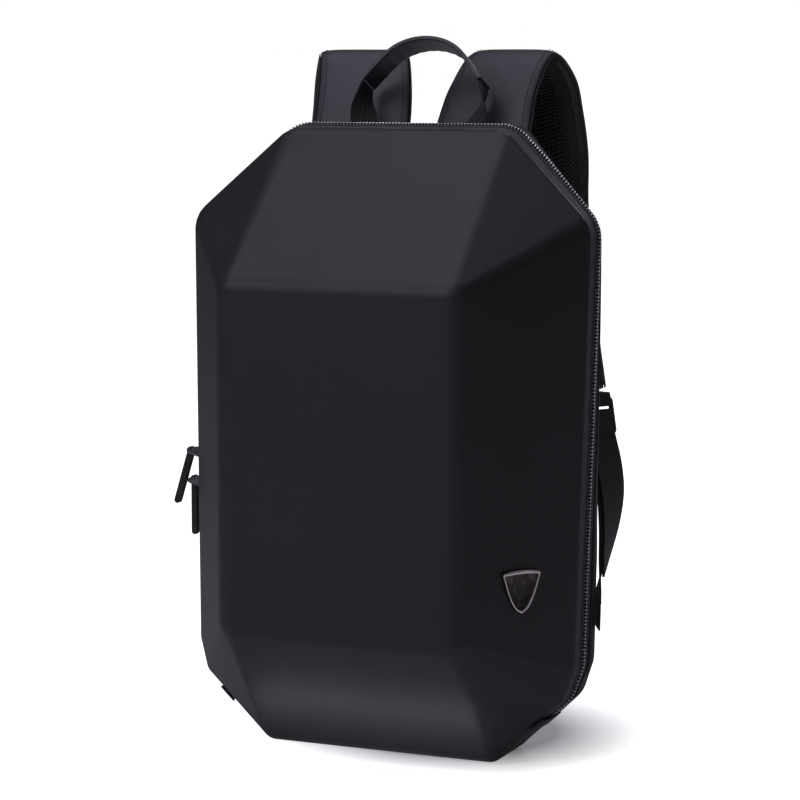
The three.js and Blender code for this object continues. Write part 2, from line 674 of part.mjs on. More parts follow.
const HANDLE_LEAN = THREE.MathUtils.degToRad(HANDLE_LEAN_DEG);
const HANDLE_UP = new THREE.Vector3(0, Math.sin(HANDLE_LEAN), Math.cos(HANDLE_LEAN));
const GRIP_TILT = THREE.MathUtils.degToRad(GRIP_TILT_DEG);
const HANDLE_BACK = new THREE.Vector3(0, Math.cos(GRIP_TILT), -Math.sin(GRIP_TILT));
const GRIP_ROUTE = [
  { span: -1, rise: 0 },
  { span: -0.5, rise: 0.8 },
  { span: 0, rise: 1 },
  { span: 0.5, rise: 0.8 },
  { span: 1, rise: 0 },
];
const GRIP_STEPS = 24;
const HANDLE_WEBBING_ROUTE = [
  { outward: 0, rise: -0.42, turn: 0 },
  { outward: 0.1, rise: 0, turn: 0.1 },
  { outward: 0.9, rise: 0.4, turn: 0.4 },
  { outward: 1.25, rise: 0.75, turn: 0.8 },
  { outward: 0.95, rise: 1, turn: 1 },
];
const WEBBING_STEPS = 14;

function handlePoint(x, rise) {
  return new THREE.Vector3(x, HANDLE_FOOT_Y, HANDLE_FOOT_Z).addScaledVector(HANDLE_UP, rise);
}

function makeHandle() {
  const gripRise = HANDLE_RISE - GRIP_END_RISE;
  const route = new THREE.CatmullRomCurve3(GRIP_ROUTE.map(({ span, rise }) => (
    handlePoint(span * HANDLE_HALF_SPAN, GRIP_END_RISE + rise * gripRise))));
  const rows = Array.from({ length: GRIP_STEPS + 1 }, (_, i) => ({
    centre: route.getPoint(i / GRIP_STEPS),
    across: HANDLE_BACK,
    width: GRIP_WIDTH,
    thickness: GRIP_THICKNESS,
  }));
  addPiece('handle_grip', loft(rows, STRAP_SIDES), 'rubber');

  for (const [side, sign] of [['right', 1], ['left', -1]]) {
    const inward = new THREE.Vector3(-sign, 0, 0);
    const reach = GRIP_END_RISE - GRIP_THICKNESS / 2 + GAP;
    const bulge = HANDLE_HALF_SPAN - HANDLE_FOOT_X;
    const webbing = HANDLE_WEBBING_ROUTE.map(({ outward, rise, turn }) => ({
      centre: rise < 0
        ? new THREE.Vector3(sign * HANDLE_FOOT_X, HANDLE_FOOT_Y, HANDLE_FOOT_Z + rise * reach)
        : handlePoint(sign * (HANDLE_FOOT_X + outward * bulge), rise * reach),
      width: HANDLE_WEBBING_WIDTH,
      turn,
    }));
    const webbingRows = smoothRows(webbing, WEBBING_STEPS).map((row) => ({
      ...row,
      across: inward.clone().lerp(HANDLE_BACK, row.turn).normalize(),
      thickness: WEBBING_THICKNESS,
    }));
    addPiece(`handle_webbing_${side}`, loft(webbingRows, 4), 'webbing');
  }
}

// Ladder lock, in its own frame: across its width, up to its top bar and outward

function outwardFrom(across) {
  return new THREE.Vector3(across.y, -across.x, 0);
}

function lockFrame(sign) {
  const end = strapRows(sign)[STRAP_STEPS];
  const across = acrossAt(sign * LOCK_TURN_DEG);
  const away = outwardFrom(across);
  const tilt = THREE.MathUtils.degToRad(LOCK_TILT_DEG);
  const up = UP.clone().multiplyScalar(Math.cos(tilt)).addScaledVector(away, -Math.sin(tilt));
  const outward = away.clone().multiplyScalar(Math.cos(tilt)).addScaledVector(UP, Math.sin(tilt));
  const centre = end.centre.clone().add(
    new THREE.Vector3(sign * LOCK_OUTWARD, -LOCK_FORWARD, -LOCK_BELOW_STRAP));
  const at = (high, out) => centre.clone().addScaledVector(up, high).addScaledVector(outward, out);
  return { across, up, outward, centre, at };
}

const BAR_REACH = LOCK_HEIGHT / 2 - LOCK_BAR / 2;
const TURN_RADIUS = LOCK_THICKNESS / 2 + GAP + WEBBING_THICKNESS / 2;
const TURN_STEPS = 6;

function makeLock(side, sign, frame) {
  const outline = roundedOutline(LOCK_WIDTH, LOCK_HEIGHT, LOCK_BAR);
  const plate = new THREE.ExtrudeGeometry(outline, {
    depth: LOCK_THICKNESS,
    bevelEnabled: false,
    curveSegments: LOCK_SEGMENTS,
  });
  plate.translate(0, 0, -LOCK_THICKNESS / 2);
  const slotHeight = BAR_REACH - LOCK_BAR;
  let solid = toSolid(plate);
  for (const direction of [1, -1]) {
    const slot = new THREE.BoxGeometry(LOCK_WIDTH - 2 * LOCK_RAIL, slotHeight, 2 * LOCK_THICKNESS);
    slot.translate(0, (direction * BAR_REACH) / 2, 0);
    solid = solid.subtract(toSolid(slot));
  }
  const lock = toGeometry(solid);
  lock.applyMatrix4(new THREE.Matrix4().makeBasis(
    frame.across, frame.up, frame.across.clone().cross(frame.up)));
  addPiece(`ladder_lock_${side}`, lock, 'plastic').position.copy(frame.centre);
}

// Half a turn of webbing round a bar, from one side of the lock to the other
function turnRound(frame, barHigh, bend) {
  const middle = barHigh + (bend * LOCK_BAR) / 2;
  return Array.from({ length: TURN_STEPS + 1 }, (_, i) => {
    const angle = (i / TURN_STEPS) * Math.PI;
    const high = middle + bend * TURN_RADIUS * Math.sin(angle);
    return frame.at(high, -TURN_RADIUS * Math.cos(angle));
  });
}

function makeLoop(side, sign, frame) {
  const strap = strapRows(sign);
  const end = strap[STRAP_STEPS];
  const along = end.centre.clone().sub(strap[STRAP_STEPS - 1].centre).normalize();
  const spread = frame.outward.clone().multiplyScalar(LOOP_SPREAD);
  const reaches = [LOOP_END, LOOP_END + LOOP_STRAIGHT];
  const sewn = reaches.map((reach) => end.centre.clone().addScaledVector(along, reach));
  const heights = [LOCK_HEIGHT / 2 + LOOP_STRAIGHT, LOCK_HEIGHT / 2 + GAP];
  const bar = [
    ...heights.map((high) => frame.at(high, -TURN_RADIUS)),
    ...turnRound(frame, BAR_REACH, -1),
    ...heights.reverse().map((high) => frame.at(high, TURN_RADIUS)),
  ];
  const strapAcross = acrossAt(end.turn);
  const rows = [
    ...sewn.map((centre) => ({ centre: centre.clone().sub(spread), across: strapAcross })),
    ...bar.map((centre) => ({ centre, across: frame.across })),
    ...sewn.reverse().map((centre) => ({ centre: centre.clone().add(spread), across: strapAcross })),
  ];
  addPiece(`lock_loop_${side}`, loft(rows.map((row) => ({
    ...row,
    width: WEBBING_WIDTH,
    thickness: WEBBING_THICKNESS,
  })), 4), 'webbing');
}

// Lower webbing from lock to anchor: share of the way down, and of the bulge out of that line
const LOWER_WEBBING_ROUTE = [
  { drop: 0.15, bulge: 0.6, turn: 63 },
  { drop: 0.34, bulge: 1, turn: 71 },
  { drop: 0.54, bulge: 0.88, turn: 84 },
  { drop: 0.74, bulge: 0.46, turn: 99 },
  { drop: 0.9, bulge: 0.15, turn: 112 },
];
const LOWER_WEBBING_STEPS = 20;

function anchorRows(sign) {
  const turn = THREE.MathUtils.degToRad(ANCHOR_TURN_DEG);
  const rowAt = (z, lift) => {
    const radius = SIDE_BACK_RADIUS + GAP + ANCHOR_THICKNESS / 2 + lift;
    const x = halfWidthAt(z) - SIDE_BACK_RADIUS + radius * Math.cos(turn);
    const roundStart = between(z, LOWER_CORNER_Z, UPPER_CORNER_Z, SIDE_WALL_END_Y, UPPER_WALL_END_Y);
    return {
      centre: new THREE.Vector3(sign * x, roundStart + radius * Math.sin(turn), z),
      across: acrossAt(sign * (ANCHOR_TURN_DEG + 90)),
      thickness: ANCHOR_THICKNESS,
    };
  };
  return [
    { ...rowAt(ANCHOR_Z - ANCHOR_HEIGHT, 0), width: ANCHOR_WIDTH },
    { ...rowAt(ANCHOR_Z - ANCHOR_HEIGHT / 2, ANCHOR_LIFT / 3), width: ANCHOR_WIDTH },
    { ...rowAt(ANCHOR_Z, ANCHOR_LIFT), width: WEBBING_WIDTH },
  ];
}

function makeLowerWebbing(side, sign, frame) {
  const anchor = anchorRows(sign);
  addPiece(`strap_anchor_${side}`, loft(anchor, 4), 'fabric');
  const foot = anchor[anchor.length - 1];
  const start = frame.at(-LOCK_HEIGHT / 2, -TURN_RADIUS);
  const low = foot.centre.clone().addScaledVector(UP, SEWN_GAP);
  const bulgeWay = outwardFrom(foot.across);
  const route = LOWER_WEBBING_ROUTE.map(({ drop, bulge, turn }) => ({
    centre: start.clone().lerp(low, drop).addScaledVector(bulgeWay, bulge * WEBBING_BULGE),
    width: WEBBING_WIDTH,
    turn: sign * turn,
  }));
  const taut = smoothRows([
    { centre: low, width: WEBBING_WIDTH, turn: sign * (ANCHOR_TURN_DEG + 90) },
    {
      centre: low.clone().addScaledVector(UP, WEBBING_END),
      width: WEBBING_WIDTH,
      turn: sign * (ANCHOR_TURN_DEG + 90),
    },
    ...route.reverse(),
    { centre: start, width: WEBBING_WIDTH, turn: sign * LOCK_TURN_DEG },
  ], LOWER_WEBBING_STEPS);
  const tail = taut.slice(LOWER_WEBBING_STEPS - TAIL_ROWS, LOWER_WEBBING_STEPS).reverse().map((row, i) => {
    const lift = THREE.MathUtils.lerp(2 * TURN_RADIUS, TAIL_LIFT, (i + 1) / TAIL_ROWS);
    const outward = outwardFrom(acrossAt(row.turn));
    return { ...row, centre: row.centre.clone().addScaledVector(outward, lift) };
  });
  const turned = turnRound(frame, 0, 1).map((centre) => ({ centre, turn: sign * LOCK_TURN_DEG }));
  const front = { centre: frame.at(-LOCK_HEIGHT / 2, TURN_RADIUS), turn: sign * LOCK_TURN_DEG };
  const rows = [...taut, ...turned, front, ...tail].map((row) => ({
    centre: row.centre,
    across: acrossAt(row.turn),
    width: WEBBING_WIDTH,
    thickness: WEBBING_THICKNESS,
  }));
  addPiece(`lower_webbing_${side}`, loft(rows, 4), 'webbing');
}

makeBody();
makeZip();
makeBackPad();
makePull('upper', makeSlider('upper', UPPER_PULL_Z), -1, PULL_LEAN_DEG);
makePull('lower', makeSlider('lower', LOWER_PULL_Z), 1, 0);
makeBadge();
makeHandle();
for (const [side, sign] of [['right', 1], ['left', -1]]) {
  const frame = lockFrame(sign);
  makeStrap(side, sign);
  makeLock(side, sign, frame);
  makeLoop(side, sign, frame);
  makeLowerWebbing(side, sign, frame);
}
pack.position.y = -FOOT_CENTRE_Y;

export default pack;
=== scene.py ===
"""The looks of a hard shell backpack, built round its solids as a Blender add-on that is run as a script."""

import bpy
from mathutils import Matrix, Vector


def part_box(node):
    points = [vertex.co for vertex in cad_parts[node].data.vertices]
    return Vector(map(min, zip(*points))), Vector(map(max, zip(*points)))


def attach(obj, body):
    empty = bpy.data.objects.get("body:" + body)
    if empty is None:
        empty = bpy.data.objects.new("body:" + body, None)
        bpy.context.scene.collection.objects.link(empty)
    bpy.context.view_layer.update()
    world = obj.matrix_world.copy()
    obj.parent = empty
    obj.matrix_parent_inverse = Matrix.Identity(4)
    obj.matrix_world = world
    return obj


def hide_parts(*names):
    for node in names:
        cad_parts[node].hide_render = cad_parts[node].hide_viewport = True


bl_info = {
    "name": "Hard Shell Backpack",
    "version": (1, 0, 0),
    "blender": (4, 5, 0),
    "location": "View3D > Sidebar > Backpack",
    "description": "Builds the shell, zip, straps and handle of a hard shell backpack",
    "category": "Object",
}

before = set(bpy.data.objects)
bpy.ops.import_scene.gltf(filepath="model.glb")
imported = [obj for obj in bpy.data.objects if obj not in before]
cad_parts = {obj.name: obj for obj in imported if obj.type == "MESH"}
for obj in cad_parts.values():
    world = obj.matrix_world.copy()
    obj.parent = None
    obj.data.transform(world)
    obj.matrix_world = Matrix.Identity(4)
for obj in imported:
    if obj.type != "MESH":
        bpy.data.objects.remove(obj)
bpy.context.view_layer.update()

import math

import bmesh
import bpy
from mathutils import Matrix, Vector, noise
from mathutils.bvhtree import BVHTree

MM = 0.001
CLOTH_UV = "Cloth"
UP = Vector((0, 0, 1))

# The front panel's plane, as the solids have it
FRONT_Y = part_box("front_shell")[0].y

# Moulded shell and cloth body, in metres from the front panel's plane
HALF_WIDTH = 155 * MM
HEIGHT = 450 * MM
SHELL_WALL = 3 * MM
PANEL_HALF = 91 * MM
PANEL_TOP = 344 * MM
PANEL_BOTTOM = 95 * MM
PANEL_RADIUS = 18 * MM
RIM_RADIUS = 12 * MM
RIM_LIFT = 6 * MM
TOP_DEPTH = 102 * MM
SIDE_DEPTH = 87 * MM
BOTTOM_DEPTH = 65 * MM
CHAMFER_DEPTH = 74 * MM
CHAMFER_HALF = 140.5 * MM
CHAMFER_Z = 47.6 * MM
LOWER_HALF = 148.3 * MM
LOWER_Z = 71 * MM
UPPER_Z = 385 * MM
TOP_EDGE_HALF = 85 * MM
UPPER_ROUNDING = 26 * MM
ARC_CORNERS = 4
BOTTOM_EDGE_HALF = 89 * MM
BACK_Y = 142 * MM
BACK_RADIUS = 16 * MM
BACK_INSET = 14 * MM
SIDE_END_Y = 117 * MM
UPPER_END_Y = 105 * MM
SIDE_BACK_RADIUS = 22 * MM
TOP_END_Y = 128 * MM
TOP_END_LIFT = 3 * MM
BASE_FRONT_Y = 78 * MM
BALL_DETAIL = 4

# Bands of the zip, from the rim of the shell backwards
FLANGE = 0.5 * MM
FRONT_TAPE = 15 * MM
CHAIN = 4.5 * MM
REAR_TAPE = 8 * MM
TAPE_RECESS = 1 * MM
ZIP_END_Z = 31 * MM
GAP = 0.3 * MM
CHAIN_START = FLANGE + FRONT_TAPE + GAP
CHAIN_MIDDLE = CHAIN_START + CHAIN / 2
REAR_TAPE_START = CHAIN_START + CHAIN + GAP
BAND_END = FLANGE + FRONT_TAPE + CHAIN + REAR_TAPE + 3 * GAP
RIM_CENTRE_Z = 225 * MM
TOOTH_SIDE = 1.15 * MM
TOOTH_PROUD = 1.1 * MM
TOOTH_FILL = 0.9
TOOTH_BEVEL = 0.28 * MM
REAR_ROW_DROP = 0.5 * MM
# Share of the plating's colour that the rear row of teeth keeps: painted shade, as if it lay in the front
# row's shadow
REAR_ROW_PAINTED_SHADE = 0.12

# Padded back panel
PAD_THICKNESS = 8 * MM
PAD_BORDER = 5 * MM
PAD_TOP_Z = 392 * MM

# Carrying handle
FOOT_Y = BACK_Y + GAP
FOOT_Z = HEIGHT - 5 * MM
FOOT_X = 43 * MM
HANDLE_RISE = 69 * MM
GRIP_END_RISE = 38 * MM
HANDLE_HALF_SPAN = 46 * MM
HANDLE_LEAN = math.radians(20)
GRIP_TILT = math.radians(24)
GRIP_WIDTH = 22 * MM
GRIP_THICKNESS = 3.2 * MM
GRIP_BLUNT = 0.28
HANDLE_WEBBING_WIDTH = 20 * MM
WEBBING_THICKNESS = 1.6 * MM

# Shoulder straps
STRAP_WIDTH = 76 * MM
STRAP_PAD = 6.2 * MM
STRAP_MESH = 2.6 * MM
STRAP_ROOT_X = 48 * MM
STRAP_ROOT_Z = 402 * MM
STRAP_CREST_Z = 501 * MM
STRAP_REACH = 66 * MM
STRAP_SPLAY = 77 * MM
STRAP_SWAY = 6.5 * MM
STRAP_DROP = 239.5 * MM
STRAP_THICKNESS = STRAP_PAD + GAP + STRAP_MESH
BLUNT = 0.45
STRAP_CROWN = 0.85
BINDING_FRONT = 0.25


def rows(names, *table):
    """The rows of a table, each with its values by name."""
    return [dict(zip(names, row)) for row in table]


# Splay and reach are shares of their named sizes.
# Fall is a share of the drop, or of the rise where it is negative.
STRAP_ROUTE = rows(
    ("splay", "reach", "fall", "width", "turn"),
    (0, 0.005, -1, 1, 0),
    (0, 0.03, -0.77, 1, 0),
    (0.01, 0.26, -0.54, 0.99, -3),
    (0.05, 0.47, -0.24, 0.94, -6),
    (0.17, 0.74, 0, 0.9, -8),
    (0.31, 0.94, 0.07, 0.87, -8),
    (0.37, 1, 0.17, 0.86, -7),
    (0.42, 1, 0.3, 0.86, -5),
    (0.44, 0.94, 0.45, 0.85, -2),
    (0.55, 0.78, 0.65, 0.79, 5),
    (0.77, 0.52, 0.86, 0.65, 20),
    (1, 0.28, 1, 0.5, 38),
)
GRIP_ROUTE = rows(
    ("span", "rise"),
    (-1, 0),
    (-0.5, 0.8),
    (0, 1),
    (0.5, 0.8),
    (1, 0),
)
HANDLE_WEBBING_ROUTE = rows(
    ("outward", "rise", "turn"),
    (0, -0.42, 0),
    (0.1, 0, 0.1),
    (0.9, 0.4, 0.4),
    (1.25, 0.75, 0.8),
    (0.95, 1, 1),
)
SIDES = (("right", 1), ("left", -1))

# Thin cloth, bindings and stitches
TAPE_WALL = 1.2 * MM
BINDING_WALL = 0.5 * MM
CORD_HEIGHT = 0.9 * MM
CORD_SHARE = 0.2
COVER_INSET = 0.6 * MM
STITCH_INSET = 1.2 * MM
STITCH_LIFT = 0.6 * MM
STITCH_START = 0.2

# How the cloth body gives: it is held near its seams, and swells and sinks at two scales
SAG_FADE = 22 * MM
SAG_BASE = 6 * MM
SAG_WAVE = 60 * MM
SAG_WRINKLE = 24 * MM

# Sewn channels of the back panel
CHANNEL_HALF = 7 * MM
CHANNEL_HEIGHTS = (110 * MM, 200 * MM, 290 * MM)
CHANNEL_SLOPE = 0.15

# Bevels of the hard pieces and the folded cloth
METAL_BEVEL = 0.35 * MM
PULL_BEVEL = 0.7 * MM
LOCK_BEVEL = 0.6 * MM
TAB_BEVEL = 0.2 * MM
ANCHOR_BEVEL = 0.25 * MM
BEVELLED_FROM_DEG = 28

# Grids, by their points along and across, and the cuts that let a flat wall bend
TAPE_GRID = (520, 14)
STRAP_GRID = (110, 28)
BINDING_GRID = (110, 14)
GRIP_GRID = (240, 32)
HANDLE_STRIP_GRID = (60, 24)
BODY_CUT = 12 * MM
PAD_CUT = 5 * MM
PAD_BALL_DETAIL = 3
MERGE_DISTANCE = 1e-6
MERGE_ANGLE_DEG = 0.4
COPY_MERGE_ANGLE_DEG = 1
SMOOTH_ANGLE_DEG = 32
SEAM_ANGLE_DEG = 60
PAD_ANGLE_DEG = 80
SAME_WAY = 0.999


# Sizes and colours that a user may change

def length(name, description, default):
    return bpy.props.FloatProperty(
        name=name, description=description, default=default, min=0, unit="LENGTH", precision=5)


def colour(name, description, default):
    return bpy.props.FloatVectorProperty(
        name=name, description=description, default=default, min=0, max=1, size=3, subtype="COLOR")


class BackpackSizes(bpy.types.PropertyGroup):
    tooth_pitch: length("Tooth pitch", "Distance between teeth of one row", 2.57 * MM)
    tooth_width: length("Tooth width", "How far a tooth reaches across the chain", 1.9 * MM)
    tooth_height: length("Tooth height", "How high a tooth stands on the tape", 2.2 * MM)
    binding_width: length("Binding width", "Width of the tape round a strap's edge", 6.5 * MM)
    binding_lift: length("Binding lift", "How far the binding stands proud of the strap", 0.3 * MM)
    stitch_length: length("Stitch length", "Length of one stitch", 2.4 * MM)
    stitch_pitch: length("Stitch pitch", "Distance between stitches", 3.4 * MM)
    thread_width: length("Thread width", "Width of the sewing thread", 0.6 * MM)
    rib_pitch: length("Rib pitch", "Distance between the ribs under the grip", 9 * MM)
    rib_height: length("Rib height", "Height of the ribs under the grip", 0.25 * MM)
    sag: length("Body sag", "How far the cloth body gives between its seams", 1.2 * MM)
    channel_depth: length("Channel depth", "Depth of the sewn channels in the back panel", 2.6 * MM)


class BackpackColours(bpy.types.PropertyGroup):
    shell: colour("Shell", "Coated skin of the moulded shell", (0.0125, 0.0118, 0.0142))
    cloth: colour("Cloth", "Coated cloth of the body", (0.006, 0.006, 0.0066))
    tape: colour("Zip tape", "Light threads of the zip tape", (0.05, 0.048, 0.055))
    teeth: colour("Zip teeth", "Plated teeth", (0.9, 0.9, 0.92))
    metal: colour("Slider metal", "Dark nickel of the sliders", (0.14, 0.14, 0.15))
    badge: colour("Badge", "Gunmetal of the badge", (0.2, 0.175, 0.172))
    rubber: colour("Rubber", "Moulded pulls", (0.006, 0.006, 0.0065))
    grip: colour("Grip", "Synthetic leather of the grip", (0.04, 0.038, 0.045))
    webbing: colour("Webbing", "Woven nylon webbing", (0.011, 0.011, 0.0125))
    strap: colour("Strap", "Satin cover of the shoulder straps", (0.04, 0.038, 0.049))
    mesh: colour("Mesh", "Spacer mesh of the padding", (0.012, 0.012, 0.013))
    plastic: colour("Plastic", "Moulded ladder locks", (0.009, 0.009, 0.0095))


# Materials

def socket_value(node, values):
    for name, value in values.items():
        node.inputs[name].default_value = value


class Finish:
    """A procedural material whose nodes read the piece's own coordinates or its cloth UVs."""

    def __init__(self, name, tint, roughness, **sockets):
        self.material = bpy.data.materials.new(name)
        self.material.use_nodes = True
        self.tree = self.material.node_tree
        self.shader = self.tree.nodes["Principled BSDF"]
        self.tint = (*tint, 1)
        socket_value(self.shader, {"Base Color": self.tint, "Roughness": roughness})
        socket_value(self.shader, {key.replace("_", " "): value for key, value in sockets.items()})
        self.bump_before = None

    def add(self, kind, **values):
        node = self.tree.nodes.new(f"ShaderNode{kind}")
        socket_value(node, {key.replace("_", " "): value for key, value in values.items()})
        return node

    def link(self, out_socket, in_socket):
        self.tree.links.new(out_socket, in_socket)

    def place(self, cloth=False):
        """Where a pattern is read: the piece's own coordinates, or its cloth UVs in metres."""
        if cloth:
            uv = self.add("UVMap")
            uv.uv_map = CLOTH_UV
            return uv.outputs["UV"]
        return self.add("TexCoord").outputs["Object"]

    def noise(self, where, pitch, detail=2):
        texture = self.add("TexNoise", Scale=1 / pitch, Detail=detail)
        self.link(where, texture.inputs["Vector"])
        return texture.outputs["Fac"]

    def grain(self, where, pitch, randomness=1.0):
        texture = self.add("TexVoronoi", Scale=1 / pitch, Randomness=randomness)
        self.link(where, texture.inputs["Vector"])
        return texture.outputs["Distance"]

    def math(self, operation, first, second=0.0):
        node = self.add("Math")
        node.operation = operation
        for i, value in enumerate((first, second)):
            if isinstance(value, (int, float)):
                node.inputs[i].default_value = value
            else:
                self.link(value, node.inputs[i])
        return node.outputs[0]

    def axes(self, where):
        node = self.add("SeparateXYZ")
        self.link(where, node.inputs[0])
        return node.outputs

    def wave(self, coordinate, pitch):
        """A smooth wave from 0 to 1 with that pitch."""
        turns = self.math("MULTIPLY", coordinate, 2 * math.pi / pitch)
        return self.math("MULTIPLY_ADD", self.math("SINE", turns), 0.5)

    def shades(self, fac, low, high, darker, lighter):
        """Base colour between two shades of the tint, where fac goes from low to high."""
        ramp = self.add("ValToRGB")
        for element, position, share in zip(ramp.color_ramp.elements, (low, high), (darker, lighter)):
            element.position = position
            element.color = (*(min(1, c * share) for c in self.tint[:3]), 1)
        self.link(fac, ramp.inputs["Fac"])
        self.link(ramp.outputs["Color"], self.shader.inputs["Base Color"])

    def mottle(self, where, pitch, darker, lighter, detail=4):
        """Patches of a darker and a lighter shade."""
        self.shades(self.noise(where, pitch, detail), 0.3, 0.7, darker, lighter)

    def herringbone(self, along, across, width, pitch):
        """Ribs that turn back at each width across the cloth."""
        return self.wave(self.math("ADD", along, self.math("PINGPONG", across, width)), pitch)

    def roughness(self, where, pitch, low, high, detail=4):
        scale = self.add("MapRange", To_Min=low, To_Max=high)
        self.link(self.noise(where, pitch, detail), scale.inputs["Value"])
        self.link(scale.outputs["Result"], self.shader.inputs["Roughness"])

    def bump(self, height, depth, strength=1.0):
        """Relief of that depth in metres, laid over the relief before it."""
        bump = self.add("Bump", Distance=depth, Strength=strength)
        self.link(height, bump.inputs["Height"])
        if self.bump_before:
            self.link(self.bump_before, bump.inputs["Normal"])
        self.bump_before = bump.outputs["Normal"]
        self.link(self.bump_before, self.shader.inputs["Normal"])


def shell_finish():
    """Coated skin over the moulded shell: a fine grain, slow changes of shade and a satin gloss."""
    f = Finish("coated_shell_skin", colours().shell, 0.5, Specular_IOR_Level=0.5)
    where = f.place()
    f.mottle(where, 90 * MM, 0.85, 1.18)
    f.roughness(where, 60 * MM, 0.47, 0.55, detail=3)
    f.bump(f.grain(where, 0.8 * MM), 0.06 * MM, 0.5)
    f.bump(f.noise(where, 70 * MM), 0.4 * MM, 0.2)
    return f.material


def cloth_finish():
    """Coated bag cloth with a close weave."""
    f = Finish("bag_cloth", colours().cloth, 0.72, Sheen_Weight=0.12, Sheen_Roughness=0.5)
    where = f.place()
    x, y, z = f.axes(where)
    weave = f.math("MULTIPLY", f.wave(f.math("ADD", x, y), 1.1 * MM), f.wave(f.math("ADD", z, y), 1.1 * MM))
    f.mottle(where, 26 * MM, 0.8, 1.5, detail=5)
    f.bump(weave, 0.18 * MM, 0.7)
    f.bump(f.noise(where, 18 * MM), 1.2 * MM, 0.3)
    return f.material


def tape_finish():
    """Zip tape: a herringbone of light and dark threads along the tape."""
    f = Finish("zip_tape_weave", colours().tape, 0.8, Sheen_Weight=0.2, Sheen_Roughness=0.4)
    where = f.place(cloth=True)
    along, across, _ = f.axes(where)
    threads = f.herringbone(along, across, 2.2 * MM, 1.5 * MM)
    weave = f.math("MULTIPLY", threads, f.wave(across, 0.8 * MM))
    speckle = f.math("ADD", weave, f.math("MULTIPLY", f.noise(where, 1.4 * MM), 0.6))
    f.shades(speckle, 0.35, 1.0, 0.1, 2.2)
    f.bump(weave, 0.3 * MM, 0.9)
    return f.material


def teeth_finish(name, share):
    """Plated teeth, darkened to a share of the plating's colour; a share below one is painted shade."""
    f = Finish(name, colours().teeth, 0.24, Metallic=0.75)
    where = f.place()
    f.mottle(where, 3 * MM, 0.6 * share, share, detail=2)
    f.roughness(where, 1.2 * MM, 0.16, 0.4, detail=2)
    return f.material


def metal_finish():
    f = Finish("dark_nickel", colours().metal, 0.28, Metallic=1.0)
    where = f.place()
    f.shades(f.noise(where, 4 * MM, detail=4), 0.3, 0.75, 0.6, 1.4)
    f.roughness(where, 2 * MM, 0.2, 0.45)
    f.bump(f.noise(where, 0.6 * MM), 0.05 * MM, 0.3)
    return f.material


def badge_finish():
    """Gunmetal plate, dark in its blasted field and polished on its raised border."""
    f = Finish("badge_gunmetal", colours().badge, 0.34, Metallic=1.0)
    where = f.place()
    facing, field, border = badge_levels()
    out = f.add("VectorMath")
    out.operation = "DOT_PRODUCT"
    out.inputs[1].default_value = facing
    f.link(where, out.inputs[0])
    raised = f.add("MapRange", From_Min=field, From_Max=border)
    f.link(out.outputs["Value"], raised.inputs["Value"])
    wear = f.math("MULTIPLY", f.noise(where, 5 * MM, detail=5), 0.3)
    f.shades(f.math("ADD", raised.outputs["Result"], wear), 0.15, 1.0, 0.3, 4.4)
    f.roughness(where, 1.6 * MM, 0.24, 0.5, detail=5)
    f.bump(f.grain(where, 0.5 * MM), 0.08 * MM, 0.35)
    return f.material


def badge_levels():
    """The way the badge faces, with the levels of its field and its border along it."""
    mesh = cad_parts["badge"].data
    front = (face for face in mesh.polygons if face.normal.y < 0)
    facing = max(front, key=lambda face: face.area).normal.copy()
    levels = [mesh.vertices[i].co.dot(facing) for face in mesh.polygons
              if face.normal.dot(facing) > SAME_WAY for i in face.vertices]
    return facing, min(levels), max(levels)


def rubber_finish():
    f = Finish("moulded_rubber", colours().rubber, 0.5)
    where = f.place()
    f.roughness(where, 2 * MM, 0.4, 0.62)
    f.bump(f.grain(where, 0.6 * MM), 0.05 * MM, 0.4)
    return f.material


def grip_finish():
    """Synthetic leather with a fine pebble grain."""
    f = Finish("grip_leather", colours().grip, 0.42)
    where = f.place()
    f.mottle(where, 9 * MM, 0.75, 1.25)
    f.roughness(where, 3 * MM, 0.34, 0.52)
    f.bump(f.grain(where, 0.9 * MM), 0.1 * MM, 0.5)
    return f.material


def webbing_finish(cloth):
    """Nylon webbing: ribs across, with herringbone threads where the piece has cloth UVs."""
    f = Finish("woven_webbing" if cloth else "woven_webbing_vertical", colours().webbing, 0.78,
               Sheen_Weight=0.18, Sheen_Roughness=0.45)
    where = f.place(cloth)
    first, second, third = f.axes(where)
    along, across = (first, second) if cloth else (third, f.math("ADD", first, second))
    ribs = f.herringbone(along, across, 2.5 * MM, 1.5 * MM)
    weave = f.math("MULTIPLY", ribs, f.wave(across, 1.25 * MM))
    f.shades(weave, 0.1, 0.9, 0.55, 2.1)
    f.bump(weave, 0.35 * MM, 0.9)
    return f.material


def strap_finish():
    """Smooth satin cover cloth of the straps."""
    f = Finish("satin_strap_cover", colours().strap, 0.46, Sheen_Weight=0.1, Sheen_Roughness=0.4)
    where = f.place(cloth=True)
    f.mottle(where, 45 * MM, 0.85, 1.2)
    f.roughness(where, 9 * MM, 0.4, 0.54)
    along, across, _ = f.axes(where)
    weave = f.math("MULTIPLY", f.wave(along, 0.7 * MM), f.wave(across, 0.7 * MM))
    f.bump(weave, 0.05 * MM, 0.5)
    f.bump(f.noise(where, 35 * MM), 1.0 * MM, 0.25)
    return f.material


def binding_finish():
    f = Finish("ribbed_binding", colours().webbing, 0.75, Sheen_Weight=0.2, Sheen_Roughness=0.4)
    where = f.place(cloth=True)
    along, across, _ = f.axes(where)
    ribs = f.herringbone(along, across, 3 * MM, 1.8 * MM)
    f.shades(ribs, 0.1, 0.9, 0.3, 3.2)
    f.bump(ribs, 0.3 * MM, 0.9)
    return f.material


